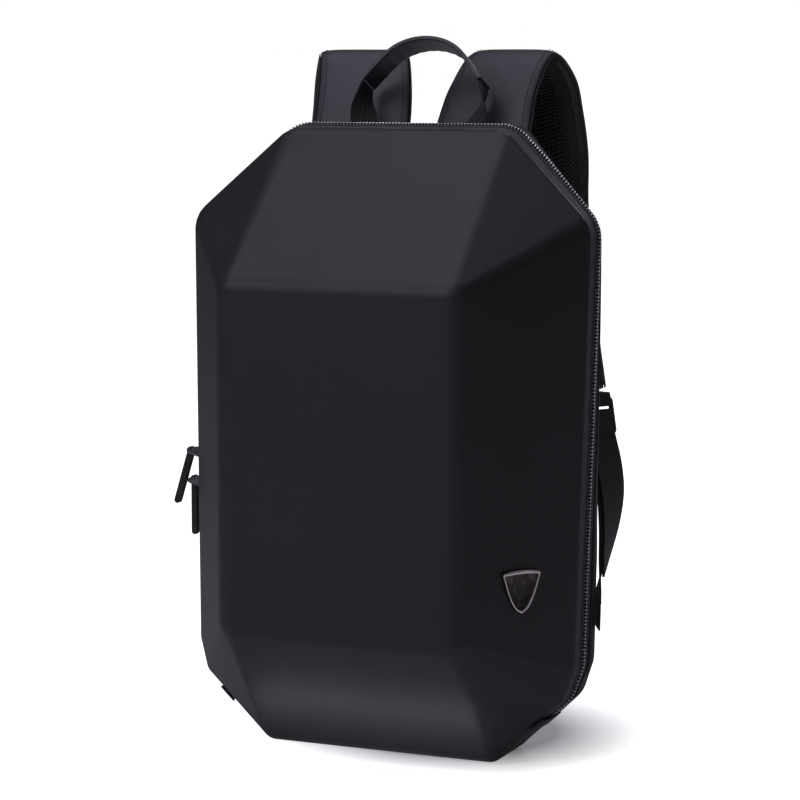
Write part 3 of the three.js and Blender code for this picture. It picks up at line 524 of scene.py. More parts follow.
def mesh_finish():
    """Spacer mesh with a herringbone of open ribs."""
    f = Finish("herringbone_mesh", colours().mesh, 0.85, Sheen_Weight=0.25, Sheen_Roughness=0.4)
    where = f.place(cloth=True)
    along, across, _ = f.axes(where)
    ribs = f.herringbone(along, across, 7 * MM, 3.4 * MM)
    knots = f.wave(across, 1.4 * MM)
    weave = f.math("MULTIPLY", ribs, f.math("MULTIPLY_ADD", knots, 0.6))
    f.shades(weave, 0.15, 0.75, 0.15, 6)
    f.bump(weave, 0.9 * MM, 1.0)
    return f.material


def air_mesh_finish():
    """Spacer mesh of the back panel: rows of small round openings."""
    f = Finish("air_mesh", colours().mesh, 0.85, Sheen_Weight=0.25, Sheen_Roughness=0.4)
    where = f.place()
    cells = f.grain(where, 2.4 * MM, randomness=0.15)
    f.shades(cells, 0.18, 0.5, 0.25, 2.0)
    f.bump(cells, 0.7 * MM, 0.9)
    return f.material


def plastic_finish():
    f = Finish("moulded_acetal", colours().plastic, 0.36)
    where = f.place()
    f.roughness(where, 4 * MM, 0.28, 0.46)
    f.bump(f.noise(where, 0.5 * MM), 0.03 * MM, 0.3)
    return f.material


def thread_finish():
    f = Finish("sewing_thread", colours().webbing, 0.6, Sheen_Weight=0.3, Sheen_Roughness=0.4)
    f.mottle(f.place(), 1.5 * MM, 1.2, 2.6, detail=2)
    return f.material


# Meshes and pieces

def sizes():
    return bpy.context.scene.backpack_sizes


def colours():
    return bpy.context.scene.backpack_colours


def shade(bm, sharp_deg=SMOOTH_ANGLE_DEG):
    for face in bm.faces:
        face.smooth = True
    for edge in bm.edges:
        edge.smooth = not edge.is_manifold or edge.calc_face_angle(0) < math.radians(sharp_deg)


def add_piece(name, bm, finish, nodes=(), body="bag", sharp_deg=SMOOTH_ANGLE_DEG):
    """Makes the mesh a piece that rides on a body and stands for the solids it replaces."""
    shade(bm, sharp_deg)
    mesh = bpy.data.meshes.new(name)
    bm.to_mesh(mesh)
    bm.free()
    mesh.materials.append(finish)
    piece = bpy.data.objects.new(name, mesh)
    bpy.context.scene.collection.objects.link(piece)
    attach(piece, body)
    if nodes:
        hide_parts(*nodes)
    return piece


def wall(piece, thickness, offset=-1.0):
    solidify = piece.modifiers.new("Wall", "SOLIDIFY")
    solidify.thickness = thickness
    solidify.offset = offset
    solidify.use_even_offset = True
    return piece


def weigh_normals(piece):
    weighted = piece.modifiers.new("Flat faces stay flat", "WEIGHTED_NORMAL")
    weighted.keep_sharp = True
    return piece


def whole(bm):
    return [*bm.verts, *bm.edges, *bm.faces]


# Shape of the body, wrapped round balls at its corners

def seat(run, depth, radius):
    return radius * math.tan(math.atan2(run, depth) / 2)


SIDE_SLOPE = SIDE_DEPTH / (HALF_WIDTH - PANEL_HALF)
SIDE_SEAT = seat(HALF_WIDTH - PANEL_HALF, SIDE_DEPTH, RIM_RADIUS)
TOP_SEAT = seat(HEIGHT - PANEL_TOP, TOP_DEPTH, RIM_RADIUS)
BOTTOM_SEAT = seat(PANEL_BOTTOM - RIM_LIFT, BOTTOM_DEPTH, RIM_RADIUS)
RIM_CORNERS = rows(
    ("x", "z", "depth", "seat"),
    (BOTTOM_EDGE_HALF, RIM_LIFT, BOTTOM_DEPTH, BOTTOM_SEAT),
    (CHAMFER_HALF, CHAMFER_Z, CHAMFER_DEPTH, (BOTTOM_SEAT + SIDE_SEAT) / 2),
    (LOWER_HALF, LOWER_Z, SIDE_SLOPE * (LOWER_HALF - PANEL_HALF), SIDE_SEAT),
    (HALF_WIDTH, UPPER_Z, SIDE_DEPTH, SIDE_SEAT),
    (TOP_EDGE_HALF, HEIGHT, TOP_DEPTH, TOP_SEAT),
)


def rim_y(z):
    """Where the shell's rim lies at a height."""
    for low, high in zip(RIM_CORNERS, RIM_CORNERS[1:]):
        if z < high["z"] or high is RIM_CORNERS[-1]:
            share = (z - low["z"]) / (high["z"] - low["z"])
            return FRONT_Y + low["depth"] + min(max(share, 0), 1) * (high["depth"] - low["depth"])


def cut_back(i):
    """The upper corners give way to a few corners round an arc that both of their edges touch."""
    corner = RIM_CORNERS[i]
    if corner["z"] < UPPER_Z:
        return [corner]
    here, before = (Vector((c["x"], c["z"])) for c in (corner, RIM_CORNERS[i - 1]))
    after = Vector((RIM_CORNERS[i + 1]["x"], RIM_CORNERS[i + 1]["z"])) if i + 1 < len(RIM_CORNERS) else -here
    after.y = max(after.y, here.y)
    come = math.atan2(here.y - before.y, here.x - before.x)
    turn = math.atan2(after.y - here.y, after.x - here.x) - come
    to_centre = come + (turn + math.pi) / 2
    centre_away = UPPER_ROUNDING / math.cos(turn / 2)
    corner_away = UPPER_ROUNDING / math.cos(turn / (2 * ARC_CORNERS))
    arc = []
    for step in range(ARC_CORNERS):
        outward = come - math.pi / 2 + (step + 0.5) / ARC_CORNERS * turn
        x = here.x + math.cos(to_centre) * centre_away + math.cos(outward) * corner_away
        z = min(HEIGHT, here.y + math.sin(to_centre) * centre_away + math.sin(outward) * corner_away)
        arc.append({**corner, "x": x, "z": z, "depth": rim_y(z) - FRONT_Y, "on_top": corner["z"] == HEIGHT})
    return arc


OUTLINE = [corner for i in range(len(RIM_CORNERS)) for corner in cut_back(i)]


def inset_corners(distance, base_drop=0.0):
    corners = [Vector((corner["x"], corner["z"])) for corner in OUTLINE]
    corners[0].y -= base_drop
    first, last = (Vector((-corner.x, corner.y)) for corner in (corners[0], corners[-1]))
    loop = [first, *corners, last]
    inset = []
    for before, corner, after in zip(loop, corners, loop[2:]):
        come, go = (corner - before).normalized(), (after - corner).normalized()
        inward = Vector((-come.y - go.y, come.x + go.x)).normalized()
        inset.append(corner + inward * (distance / inward.dot(Vector((-come.y, come.x)))))
    return inset


def body_balls():
    """Centre and radius of each ball that the body is wrapped round."""
    run = {
        "top": seat(TOP_DEPTH, HEIGHT - PANEL_TOP, PANEL_RADIUS),
        "bottom": seat(BOTTOM_DEPTH, PANEL_BOTTOM - RIM_LIFT, PANEL_RADIUS),
        "side": seat(SIDE_DEPTH, HALF_WIDTH - PANEL_HALF, PANEL_RADIUS),
    }
    balls = [((PANEL_HALF - run["side"], PANEL_RADIUS, z), PANEL_RADIUS)
             for z in (PANEL_BOTTOM + run["bottom"], PANEL_TOP - run["top"])]
    for corner, (x, z) in zip(OUTLINE, inset_corners(RIM_RADIUS)):
        balls.append(((x, corner["depth"] + corner["seat"], z), RIM_RADIUS))
    for corner, (x, z) in zip(OUTLINE, inset_corners(SIDE_BACK_RADIUS, RIM_LIFT)):
        if not corner.get("on_top"):
            balls.append(((x, UPPER_END_Y if "on_top" in corner else SIDE_END_Y, z), SIDE_BACK_RADIUS))
    for corner, (x, z) in zip(OUTLINE, inset_corners(RIM_RADIUS - TOP_END_LIFT)):
        if corner.get("on_top"):
            balls.append(((x, TOP_END_Y, z), RIM_RADIUS))
    balls.append(((inset_corners(RIM_RADIUS, RIM_LIFT)[0].x, BASE_FRONT_Y, RIM_RADIUS), RIM_RADIUS))
    for x, z in inset_corners(BACK_INSET + BACK_RADIUS):
        balls.append(((x, BACK_Y - BACK_RADIUS, z), BACK_RADIUS))
    return [(Vector((sign * x, FRONT_Y + y, z)), radius) for (x, y, z), radius in balls for sign in (1, -1)]


def wrapped(balls, grow=0.0, detail=BALL_DETAIL):
    """The rounded body that a skin pulled tight round the balls would have."""
    bm = bmesh.new()
    for centre, radius in balls:
        bmesh.ops.create_icosphere(
            bm, subdivisions=detail, radius=radius + grow, matrix=Matrix.Translation(centre))
    bmesh.ops.delete(bm, geom=bm.edges[:], context="EDGES_FACES")
    bmesh.ops.convex_hull(bm, input=bm.verts[:])
    bmesh.ops.delete(bm, geom=[v for v in bm.verts if not v.link_faces], context="VERTS")
    bmesh.ops.recalc_face_normals(bm, faces=bm.faces[:])
    return bm


def cut_to_band(bm, start=None, end=None):
    """Keeps what lies between two distances behind the rim, which bends with the height."""
    for corner in RIM_CORNERS:
        bmesh.ops.bisect_plane(bm, geom=whole(bm), plane_co=(0, 0, corner["z"]), plane_no=UP)
    for vertex in bm.verts:
        vertex.co.y -= rim_y(vertex.co.z)
    for distance, way in ((start, -1), (end, 1)):
        if distance is not None:
            bmesh.ops.bisect_plane(
                bm, geom=whole(bm), plane_co=(0, distance, 0), plane_no=(0, way, 0), clear_outer=True)
    for vertex in bm.verts:
        vertex.co.y += rim_y(vertex.co.z)


def merge_flats(bm):
    bmesh.ops.dissolve_limit(
        bm, angle_limit=math.radians(MERGE_ANGLE_DEG), verts=bm.verts[:], edges=bm.edges[:])


def grid_cuts(bm, step):
    """Cuts the mesh along planes that far apart in all three directions."""
    low = Vector((min(v.co[i] for v in bm.verts) for i in range(3)))
    high = Vector((max(v.co[i] for v in bm.verts) for i in range(3)))
    for axis in range(3):
        normal = Vector((0, 0, 0))
        normal[axis] = 1
        for i in range(1, int((high[axis] - low[axis]) / step) + 1):
            bmesh.ops.bisect_plane(
                bm, geom=whole(bm), plane_co=low + normal * (i * step), plane_no=normal)


class Rim:
    """The line of the zip round the body, by distance along it."""

    STEPS = 900
    HALVINGS = 40
    TRIES = 6
    FROM_BELOW = 0.2

    def __init__(self):
        bm = wrapped(body_balls())
        self.tree = BVHTree.FromBMesh(bm)
        bm.free()
        low = self.angle_at(ZIP_END_Z)
        turns = [low + (math.pi - 2 * low) * i / self.STEPS for i in range(self.STEPS + 1)]
        points = [self.on_body(angle, CHAIN_MIDDLE) for angle in turns]
        self.angles, self.marks = turns, [0.0]
        for before, after in zip(points, points[1:]):
            self.marks.append(self.marks[-1] + (after - before).length)
        self.length = self.marks[-1]

    def angle_at(self, z):
        """Angle, on the right side, at which the zip's line has that height."""
        low, high = -math.pi / 2 + self.FROM_BELOW, 0.0
        for _ in range(self.HALVINGS):
            middle = (low + high) / 2
            if self.on_body(middle, CHAIN_MIDDLE).z < z:
                low = middle
            else:
                high = middle
        return low

    def on_body(self, angle, back):
        way = Vector((math.cos(angle), 0, math.sin(angle)))
        y = rim_y(RIM_CENTRE_Z) + back
        for _ in range(self.TRIES):
            hit = self.tree.ray_cast(Vector((0, y, RIM_CENTRE_Z)), way)[0]
            y = rim_y(hit.z) + back
        return hit

    def angle(self, distance):
        distance = min(max(distance, 0), self.length)
        low, high = 0, self.STEPS
        while high - low > 1:
            middle = (low + high) // 2
            if self.marks[middle] <= distance:
                low = middle
            else:
                high = middle
        share = (distance - self.marks[low]) / max(self.marks[high] - self.marks[low], 1e-9)
        return self.angles[low] + share * (self.angles[high] - self.angles[low])

    def axes(self, distance, back=CHAIN_MIDDLE, reach=1 * MM):
        """Point on the body with the directions along the zip, backwards and outwards."""
        point = self.on_body(self.angle(distance), back)
        along = (self.on_body(self.angle(distance + reach), back)
                 - self.on_body(self.angle(distance - reach), back)).normalized()
        angle = self.angle(distance)
        backward = (self.on_body(angle, back + reach) - self.on_body(angle, back - reach)).normalized()
        outward = backward.cross(along).normalized()
        if outward.dot(point - Vector((0, point.y, RIM_CENTRE_Z))) < 0:
            outward.negate()
        return point, along, backward, outward


# Strips and tubes, laid out from a grid

def draped_grid(along, across, place, run, breadth, closed=False):
    """A grid put in place by place(s, t), with s and t from 0 to 1 and its cloth UVs in metres."""
    bm = bmesh.new()
    layer = bm.loops.layers.uv.new(CLOTH_UV)
    bmesh.ops.create_grid(bm, x_segments=along, y_segments=across, size=0.5)
    shares = {vertex: (vertex.co.x + 0.5, vertex.co.y + 0.5) for vertex in bm.verts}
    for face in bm.faces:
        for loop in face.loops:
            s, t = shares[loop.vert]
            loop[layer].uv = (s * run, t * breadth)
    for vertex, (s, t) in shares.items():
        vertex.co = place(s, t)
    if closed:
        bmesh.ops.remove_doubles(bm, verts=bm.verts[:], dist=MERGE_DISTANCE)
        ends = [edge for edge in bm.edges if edge.is_boundary]
        bmesh.ops.holes_fill(bm, edges=ends, sides=0)
        bmesh.ops.recalc_face_normals(bm, faces=bm.faces[:])
    return bm


def face_away(bm, centre):
    """Turns an open strip so that its first face looks away from the centre."""
    bm.normal_update()
    bm.faces.ensure_lookup_table()
    face = bm.faces[0]
    if face.normal.dot(face.calc_center_median() - centre) < 0:
        bmesh.ops.reverse_faces(bm, faces=bm.faces[:])


def neighbours(knots, share):
    """The four knots round a share of the way, and how far it is between the middle two."""
    last = len(knots) - 1
    i = min(int(share * last), last - 1)
    b, c = knots[i], knots[i + 1]
    a = knots[i - 1] if i else 2 * b - c
    d = knots[i + 2] if i + 2 <= last else 2 * c - b
    return a, b, c, d, share * last - i


def between(b, c, leave, arrive, t):
    """From b to c, setting out and coming in at the given rates."""
    bend, twist = 3 * (c - b) - 2 * leave - arrive, 2 * (b - c) + leave + arrive
    return b + leave * t + bend * t ** 2 + twist * t ** 3


def smooth_point(points, share):
    """A point on the smooth curve through the points, which allows for uneven distances."""
    a, b, c, d, t = neighbours(points, share)
    before, here, after = (max((q - p).length, 1e-9) ** 0.5 for p, q in ((a, b), (b, c), (c, d)))
    leave = ((b - a) / before - (c - a) / (before + here) + (c - b) / here) * here
    arrive = ((c - b) / here - (d - b) / (here + after) + (d - c) / after) * here
    return between(b, c, leave, arrive, t)


def smooth_value(values, share):
    """A number on the even curve through the numbers."""
    a, b, c, d, t = neighbours(values, share)
    return between(b, c, (c - a) / 2, (d - b) / 2, t)


def blunt(value, power=BLUNT):
    return math.copysign(abs(value) ** power, value)


class Band:
    """A strap or strip along a smooth route, with a section across it at each share of the way."""

    STEPS = 60

    def __init__(self, centres, widths, across_at):
        self.centres = centres
        self.widths = widths
        self.across_at = across_at
        steps = [self.centre(i / self.STEPS) for i in range(self.STEPS + 1)]
        self.length = sum((q - p).length for p, q in zip(steps, steps[1:]))

    def centre(self, share):
        return smooth_point(self.centres, share)

    def width(self, share):
        return smooth_value(self.widths, share)

    def axes(self, share):
        step = 0.01
        low, high = max(share - step, 0), min(share + step, 1)
        along = (self.centre(high) - self.centre(low)).normalized()
        across = self.across_at(share)
        return along, across, across.cross(along).normalized()

    def point(self, share, u, out):
        """A point u metres across from the middle and out metres outwards."""
        _, across, outward = self.axes(share)
        return self.centre(share) + across * u + outward * out


def tube(band, grid, thickness, breadth, inset=0.0, lift=0.0, powers=(BLUNT, BLUNT), relief=None):
    """A closed tube along a band, whose section lies between an ellipse and a box."""
    def place(s, t):
        angle = 2 * math.pi * t
        u = blunt(math.cos(angle), powers[0]) * (band.width(s) / 2 - inset)
        out = blunt(math.sin(angle), powers[1]) * thickness / 2
        if relief and out > 0:
            out += relief(s)
        return band.point(s, u, lift + out)

    return draped_grid(*grid, place, band.length, breadth, closed=True)


def level(turn_deg):
    turn = math.radians(turn_deg)
    return Vector((math.cos(turn), math.sin(turn), 0))


def strap_band(sign):
    centres, widths, turns = [], [], []
    for row in STRAP_ROUTE:
        scale = STRAP_ROOT_Z - STRAP_CREST_Z if row["fall"] < 0 else STRAP_DROP
        centres.append(Vector((
            sign * (STRAP_ROOT_X + row["splay"] * STRAP_SPLAY) - STRAP_SWAY,
            FRONT_Y + BACK_Y + GAP + STRAP_THICKNESS / 2 + row["reach"] * STRAP_REACH,
            STRAP_CREST_Z - row["fall"] * scale,
        )))
        widths.append(row["width"] * STRAP_WIDTH)
        turns.append(sign * row["turn"])
    return Band(centres, widths, lambda share: level(smooth_value(turns, share)))


# Stitches

def stitch_row(bm, place, run, lift_axis):
    """Adds stitches along a line that place(distance) gives over its run."""
    count = max(1, int(run / sizes().stitch_pitch))
    for i in range(count):
        from_start = (i + STITCH_START) * run / count
        start, end = place(from_start), place(from_start + sizes().stitch_length)
        along = end - start
        if along.length < MERGE_DISTANCE:
            continue
        side = lift_axis(i / count).cross(along).normalized()
        up = along.normalized().cross(side)
        middle = (start + end) / 2
        turn = Matrix((along.normalized(), side, up)).transposed().to_4x4()
        scale = Matrix.Diagonal((along.length / 2, sizes().thread_width / 2, sizes().thread_width / 2, 1))
        bmesh.ops.create_icosphere(
            bm, subdivisions=1, radius=1, matrix=Matrix.Translation(middle) @ turn @ scale)


# Operators, one for each piece or group of like pieces

class BACKPACK_OT_shell(bpy.types.Operator):
    """Builds the moulded, faceted front shell"""
    bl_idname = "backpack.shell"
    bl_label = "Moulded Shell"

    def execute(self, context):
        bm = wrapped(body_balls())
        cut_to_band(bm, end=FLANGE)
        merge_flats(bm)
        shell = add_piece(
            "moulded_shell", bm, shell_finish(), ["front_shell"], sharp_deg=SEAM_ANGLE_DEG)
        wall(shell, SHELL_WALL)
        weigh_normals(shell)
        return {"FINISHED"}


class BACKPACK_OT_body(bpy.types.Operator):
    """Builds the cloth body behind the zip and the strip under the shell"""
    bl_idname = "backpack.body"
    bl_label = "Cloth Body"

    def execute(self, context):
        cloth = cloth_finish()
        bm = wrapped(body_balls())
        cut_to_band(bm, start=BAND_END)
        merge_flats(bm)
        grid_cuts(bm, BODY_CUT)
        self.sag(bm)
        rear = add_piece("cloth_body", bm, cloth, ["rear_body"], sharp_deg=SEAM_ANGLE_DEG)
        wall(rear, SHELL_WALL)

        bm = wrapped(body_balls())
        cut_to_band(bm, start=FLANGE + GAP, end=BAND_END - GAP)
        bmesh.ops.bisect_plane(
            bm, geom=whole(bm), plane_co=(0, 0, ZIP_END_Z - GAP), plane_no=UP, clear_outer=True)
        merge_flats(bm)
        strip = add_piece("base_strip", bm, cloth, ["base_gusset"], sharp_deg=SEAM_ANGLE_DEG)
        wall(strip, SHELL_WALL)
        weigh_normals(strip)
        return {"FINISHED"}

    @staticmethod
    def sag(bm):
        """Lets the cloth give a little between the rim, the base and the back."""
        bm.normal_update()
        for vertex in bm.verts:
            from_rim = vertex.co.y - rim_y(vertex.co.z) - BAND_END
            from_back = FRONT_Y + BACK_Y - vertex.co.y
            hold = 1.0
            for distance in (from_rim, from_back, vertex.co.z - SAG_BASE):
                hold *= min(max(distance / SAG_FADE, 0), 1)
            swell = noise.noise(vertex.co / SAG_WAVE)
            wrinkle = noise.noise(vertex.co / SAG_WRINKLE)
            give = swell + 0.5 * wrinkle - 0.6
            vertex.co += vertex.normal * (give * hold * sizes().sag)


class BACKPACK_OT_zip(bpy.types.Operator):
    """Builds the zip's tapes and its single teeth"""
    bl_idname = "backpack.zip"
    bl_label = "Zip"

    def execute(self, context):
        rim = Rim()
        tape = tape_finish()
        for name, node, start, end, cord_at in (
            ("zip_tape_by_shell", "zip_tape_front", FLANGE + GAP, CHAIN_START - GAP, 1.0),
            ("zip_tape_by_body", "zip_tape_rear", REAR_TAPE_START, BAND_END - GAP, 0.0),
        ):
            self.tape(name, node, rim, start, end, cord_at, tape)
        self.teeth(rim)
        return {"FINISHED"}

    @staticmethod
    def tape(name, node, rim, start, end, cord_at, finish):
        """A tape whose edge beside the teeth is a raised cord."""
        def place(s, t):
            back = start + t * (end - start)
            point, _, _, outward = rim.axes(s * rim.length, back)
            off = abs(t - cord_at) / CORD_SHARE
            cord = CORD_HEIGHT * math.sqrt(max(0, 1 - (off - 0.5) ** 2 * 4)) if off < 1 else 0
            return point + outward * (cord - TAPE_RECESS)

        bm = draped_grid(*TAPE_GRID, place, rim.length, end - start)
        face_away(bm, Vector((0, 0, RIM_CENTRE_Z)))
        tape = add_piece(name, bm, finish, [node])
        wall(tape, TAPE_WALL)

    @staticmethod
    def teeth(rim):
        """Two rows of teeth that lock between each other: a polished one in front, and one behind that is
        darkened as painted shade.
        """
        pitch = sizes().tooth_pitch
        count = int(rim.length / pitch)
        polished = ("zip_teeth_front", "polished_teeth", 1.0, ["zip_chain"])
        # The rear row has the same plating as the front row, darkened as painted shade
        shaded_row = ("zip_teeth_rear", "painted_shade_teeth", REAR_ROW_PAINTED_SHADE, [])
        for (name, finish, share, nodes), shift, side, proud in (
            (polished, 0.25, -TOOTH_SIDE, TOOTH_PROUD),
            (shaded_row, 0.75, TOOTH_SIDE, TOOTH_PROUD - REAR_ROW_DROP),
        ):
            bm = bmesh.new()
            for i in range(count):
                point, along, backward, outward = rim.axes((i + shift) * rim.length / count)
                centre = point + backward * side + outward * (proud - sizes().tooth_height / 2)
                turn = Matrix((along, backward, outward)).transposed().to_4x4()
                size = Matrix.Diagonal(
                    (pitch * TOOTH_FILL / 2, sizes().tooth_width, sizes().tooth_height, 1))
                bmesh.ops.create_cube(bm, size=1, matrix=Matrix.Translation(centre) @ turn @ size)
            bmesh.ops.recalc_face_normals(bm, faces=bm.faces[:])
            bmesh.ops.bevel(bm, geom=bm.edges[:], offset=TOOTH_BEVEL, affect="EDGES", segments=1,
                            profile=0.5, material=-1)
            add_piece(name, bm, teeth_finish(finish, share), nodes)


def bevelled_copy(node, name, finish, bevel, body="bag", segments=2):
    """A copy of a solid with its sharp edges rounded."""
    bm = bmesh.new()
    bm.from_mesh(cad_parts[node].data)
    bmesh.ops.remove_doubles(bm, verts=bm.verts[:], dist=MERGE_DISTANCE)
    bmesh.ops.dissolve_limit(
        bm, angle_limit=math.radians(COPY_MERGE_ANGLE_DEG), verts=bm.verts[:], edges=bm.edges[:])
    limit = math.radians(BEVELLED_FROM_DEG)
    sharp = [edge for edge in bm.edges if edge.is_manifold and edge.calc_face_angle(0) > limit]
    if bevel:
        bmesh.ops.bevel(
            bm, geom=sharp, offset=bevel, affect="EDGES", segments=segments, profile=0.5,
            material=-1, clamp_overlap=True)
    return add_piece(name, bm, finish, [node], body)


class BACKPACK_OT_hardware(bpy.types.Operator):
    """Builds the sliders, pulls, badge and ladder locks"""
    bl_idname = "backpack.hardware"
    bl_label = "Hardware"

    def execute(self, context):
        metal, rubber, plastic = metal_finish(), rubber_finish(), plastic_finish()
        for place in ("upper", "lower"):
            bevelled_copy(f"zip_slider_{place}", f"slider_{place}", metal, METAL_BEVEL)
            bevelled_copy(f"zip_pull_{place}", f"rubber_pull_{place}", rubber,
                          PULL_BEVEL, f"pull_{place}", segments=3)
        bevelled_copy("badge", "bare_badge", badge_finish(), METAL_BEVEL)
        for side, _ in SIDES:
            bevelled_copy(f"ladder_lock_{side}", f"strap_adjuster_{side}", plastic,
                          LOCK_BEVEL, segments=3)
        return {"FINISHED"}


class BACKPACK_OT_webbing(bpy.types.Operator):
    """Builds the end tabs, anchors, loops and lower webbing"""
    bl_idname = "backpack.webbing"
    bl_label = "Webbing"

    def execute(self, context):
        cloth, webbing = cloth_finish(), webbing_finish(cloth=False)
        for side, _ in SIDES:
            bevelled_copy(f"zip_end_tab_{side}", f"folded_end_tab_{side}", cloth, TAB_BEVEL)
            bevelled_copy(f"strap_anchor_{side}", f"sewn_anchor_{side}", cloth, ANCHOR_BEVEL)
            bevelled_copy(f"lock_loop_{side}", f"adjuster_loop_{side}", webbing, 0)
            bevelled_copy(f"lower_webbing_{side}", f"webbing_with_tail_{side}", webbing, 0)
        return {"FINISHED"}


class BACKPACK_OT_straps(bpy.types.Operator):
    """Builds the padded shoulder straps with their mesh, binding and stitches"""
    bl_idname = "backpack.straps"
    bl_label = "Shoulder Straps"

    def execute(self, context):
        cover, binding, mesh, thread = strap_finish(), binding_finish(), mesh_finish(), thread_finish()
        pad_lift = (STRAP_THICKNESS - STRAP_PAD) / 2
        mesh_lift = -(STRAP_THICKNESS - STRAP_MESH) / 2
        for side, sign in SIDES:
            band = strap_band(sign)
            bm = self.layer(band, STRAP_PAD, pad_lift)
            strap = add_piece(f"padded_strap_{side}", bm, cover, [f"shoulder_strap_{side}"])
            bm = self.layer(band, STRAP_MESH, mesh_lift)
            lining = add_piece(f"strap_air_mesh_{side}", bm, mesh, [f"strap_mesh_{side}"])
            self.binding(side, band, binding)
            self.stitches(side, band, thread)
        return {"FINISHED"}

    @staticmethod
    def layer(band, thickness, lift):
        return tube(band, STRAP_GRID, thickness, 2 * STRAP_WIDTH, inset=COVER_INSET, lift=lift,
                    powers=(BLUNT, STRAP_CROWN))

    @staticmethod
    def binding(side, band, finish):
        """Tape folded round both long edges of the strap."""
        joined = bmesh.new()
        joined.loops.layers.uv.new(CLOTH_UV)
        for edge in (1, -1):
            def place(s, t):
                half = band.width(s) / 2
                reach = math.acos((1 - sizes().binding_width / half) ** (1 / BLUNT))
                angle = (t * (1 + BINDING_FRONT) - 1) * reach
                u = edge * (blunt(math.cos(angle)) * half + sizes().binding_lift)
                out = blunt(math.sin(angle), STRAP_CROWN) * (STRAP_THICKNESS / 2 + sizes().binding_lift)
                return band.point(s, u, out)

            strip = draped_grid(*BINDING_GRID, place, band.length, 3 * sizes().binding_width)
            face_away(strip, band.centre(0))
            part = bpy.data.meshes.new("strip")
            strip.to_mesh(part)
            strip.free()
            joined.from_mesh(part)
            bpy.data.meshes.remove(part)
        piece = add_piece(f"strap_binding_{side}", joined, finish)
        wall(piece, BINDING_WALL, offset=1.0)

    @staticmethod
    def stitches(side, band, finish):
        bm = bmesh.new()
        for edge in (1, -1):
            def place(distance):
                s = min(distance / band.length, 1)
                half = band.width(s) / 2
                u = half - sizes().binding_width + STITCH_INSET
                angle = math.acos((u / half) ** (1 / BLUNT))
                crown = math.sin(angle) ** STRAP_CROWN * (STRAP_THICKNESS / 2 + sizes().binding_lift)
                return band.point(s, edge * u, crown + STITCH_LIFT)

            stitch_row(bm, place, band.length, lambda share: band.axes(share)[2])
        add_piece(f"strap_stitches_{side}", bm, finish)


class BACKPACK_OT_handle(bpy.types.Operator):
    """Builds the ribbed carrying grip and the webbing that holds it"""
    bl_idname = "backpack.handle"
    bl_label = "Carrying Handle"

    def execute(self, context):
        lean = Vector((0, math.sin(HANDLE_LEAN), math.cos(HANDLE_LEAN)))
        back = Vector((0, math.cos(GRIP_TILT), -math.sin(GRIP_TILT)))
        foot = Vector((0, FRONT_Y + FOOT_Y, FOOT_Z))
        arch = HANDLE_RISE - GRIP_END_RISE
        centres = []
        for row in GRIP_ROUTE:
            aside = Vector((row["span"] * HANDLE_HALF_SPAN, 0, 0))
            centres.append(foot + aside + lean * (GRIP_END_RISE + row["rise"] * arch))
        grip = Band(centres, [GRIP_WIDTH] * len(centres), lambda share: back)

        def rib(s):
            wave = math.sin(2 * math.pi * s * grip.length / sizes().rib_pitch)
            return (0.5 + 0.5 * wave) * sizes().rib_height

        bm = tube(grip, GRIP_GRID, GRIP_THICKNESS, 2 * GRIP_WIDTH,
                  powers=(GRIP_BLUNT, GRIP_BLUNT), relief=rib)
        add_piece("carrying_grip", bm, grip_finish(), ["handle_grip"])

        webbing = webbing_finish(cloth=True)
        reach = GRIP_END_RISE - GRIP_THICKNESS / 2 + GAP
        bulge = HANDLE_HALF_SPAN - FOOT_X
        for side, sign in SIDES:
            centres = []
            for row in HANDLE_WEBBING_ROUTE:
                centre = foot + Vector((sign * (FOOT_X + row["outward"] * bulge), 0, 0))
                centres.append(centre + (UP if row["rise"] < 0 else lean) * (row["rise"] * reach))
            turns = [row["turn"] for row in HANDLE_WEBBING_ROUTE]
            inward = Vector((-sign, 0, 0))
            band = Band(centres, [HANDLE_WEBBING_WIDTH] * len(centres),
                        lambda share: inward.lerp(back, smooth_value(turns, share)).normalized())
            bm = tube(band, HANDLE_STRIP_GRID, WEBBING_THICKNESS, 2 * HANDLE_WEBBING_WIDTH)
            add_piece(f"handle_strip_{side}", bm, webbing, [f"handle_webbing_{side}"])
        return {"FINISHED"}


class BACKPACK_OT_back(bpy.types.Operator):
    """Builds the padded back panel with its sewn channels"""
    bl_idname = "backpack.back"
    bl_label = "Back Panel"

    def execute(self, context):
        radius = PAD_THICKNESS / 2
        top = PAD_TOP_Z - radius
        centre_y = FRONT_Y + BACK_Y + GAP + radius
        corners = inset_corners(BACK_INSET + BACK_RADIUS + PAD_BORDER + radius)
        balls = [(Vector((sign * x, centre_y, min(z, top))), radius) for x, z in corners for sign in (1, -1)]
        bm = wrapped(balls, detail=PAD_BALL_DETAIL)
        merge_flats(bm)
        grid_cuts(bm, PAD_CUT)
        self.quilt(bm, centre_y)
        pad = add_piece(
            "quilted_back_panel", bm, air_mesh_finish(), ["back_pad"],
            sharp_deg=PAD_ANGLE_DEG)
        return {"FINISHED"}

    @staticmethod
    def quilt(bm, centre_y):
        """Sinks sewn channels: one down the middle and a few across."""
        for vertex in bm.verts:
            if vertex.co.y < centre_y:
                continue
            aside = abs(vertex.co.x)
            nearest = min([aside] + [abs(vertex.co.z - z - aside * CHANNEL_SLOPE) for z in CHANNEL_HEIGHTS])
            if nearest < CHANNEL_HALF:
                dip = 0.5 + 0.5 * math.cos(math.pi * nearest / CHANNEL_HALF)
                vertex.co.y -= dip * sizes().channel_depth


# Floor, light and camera

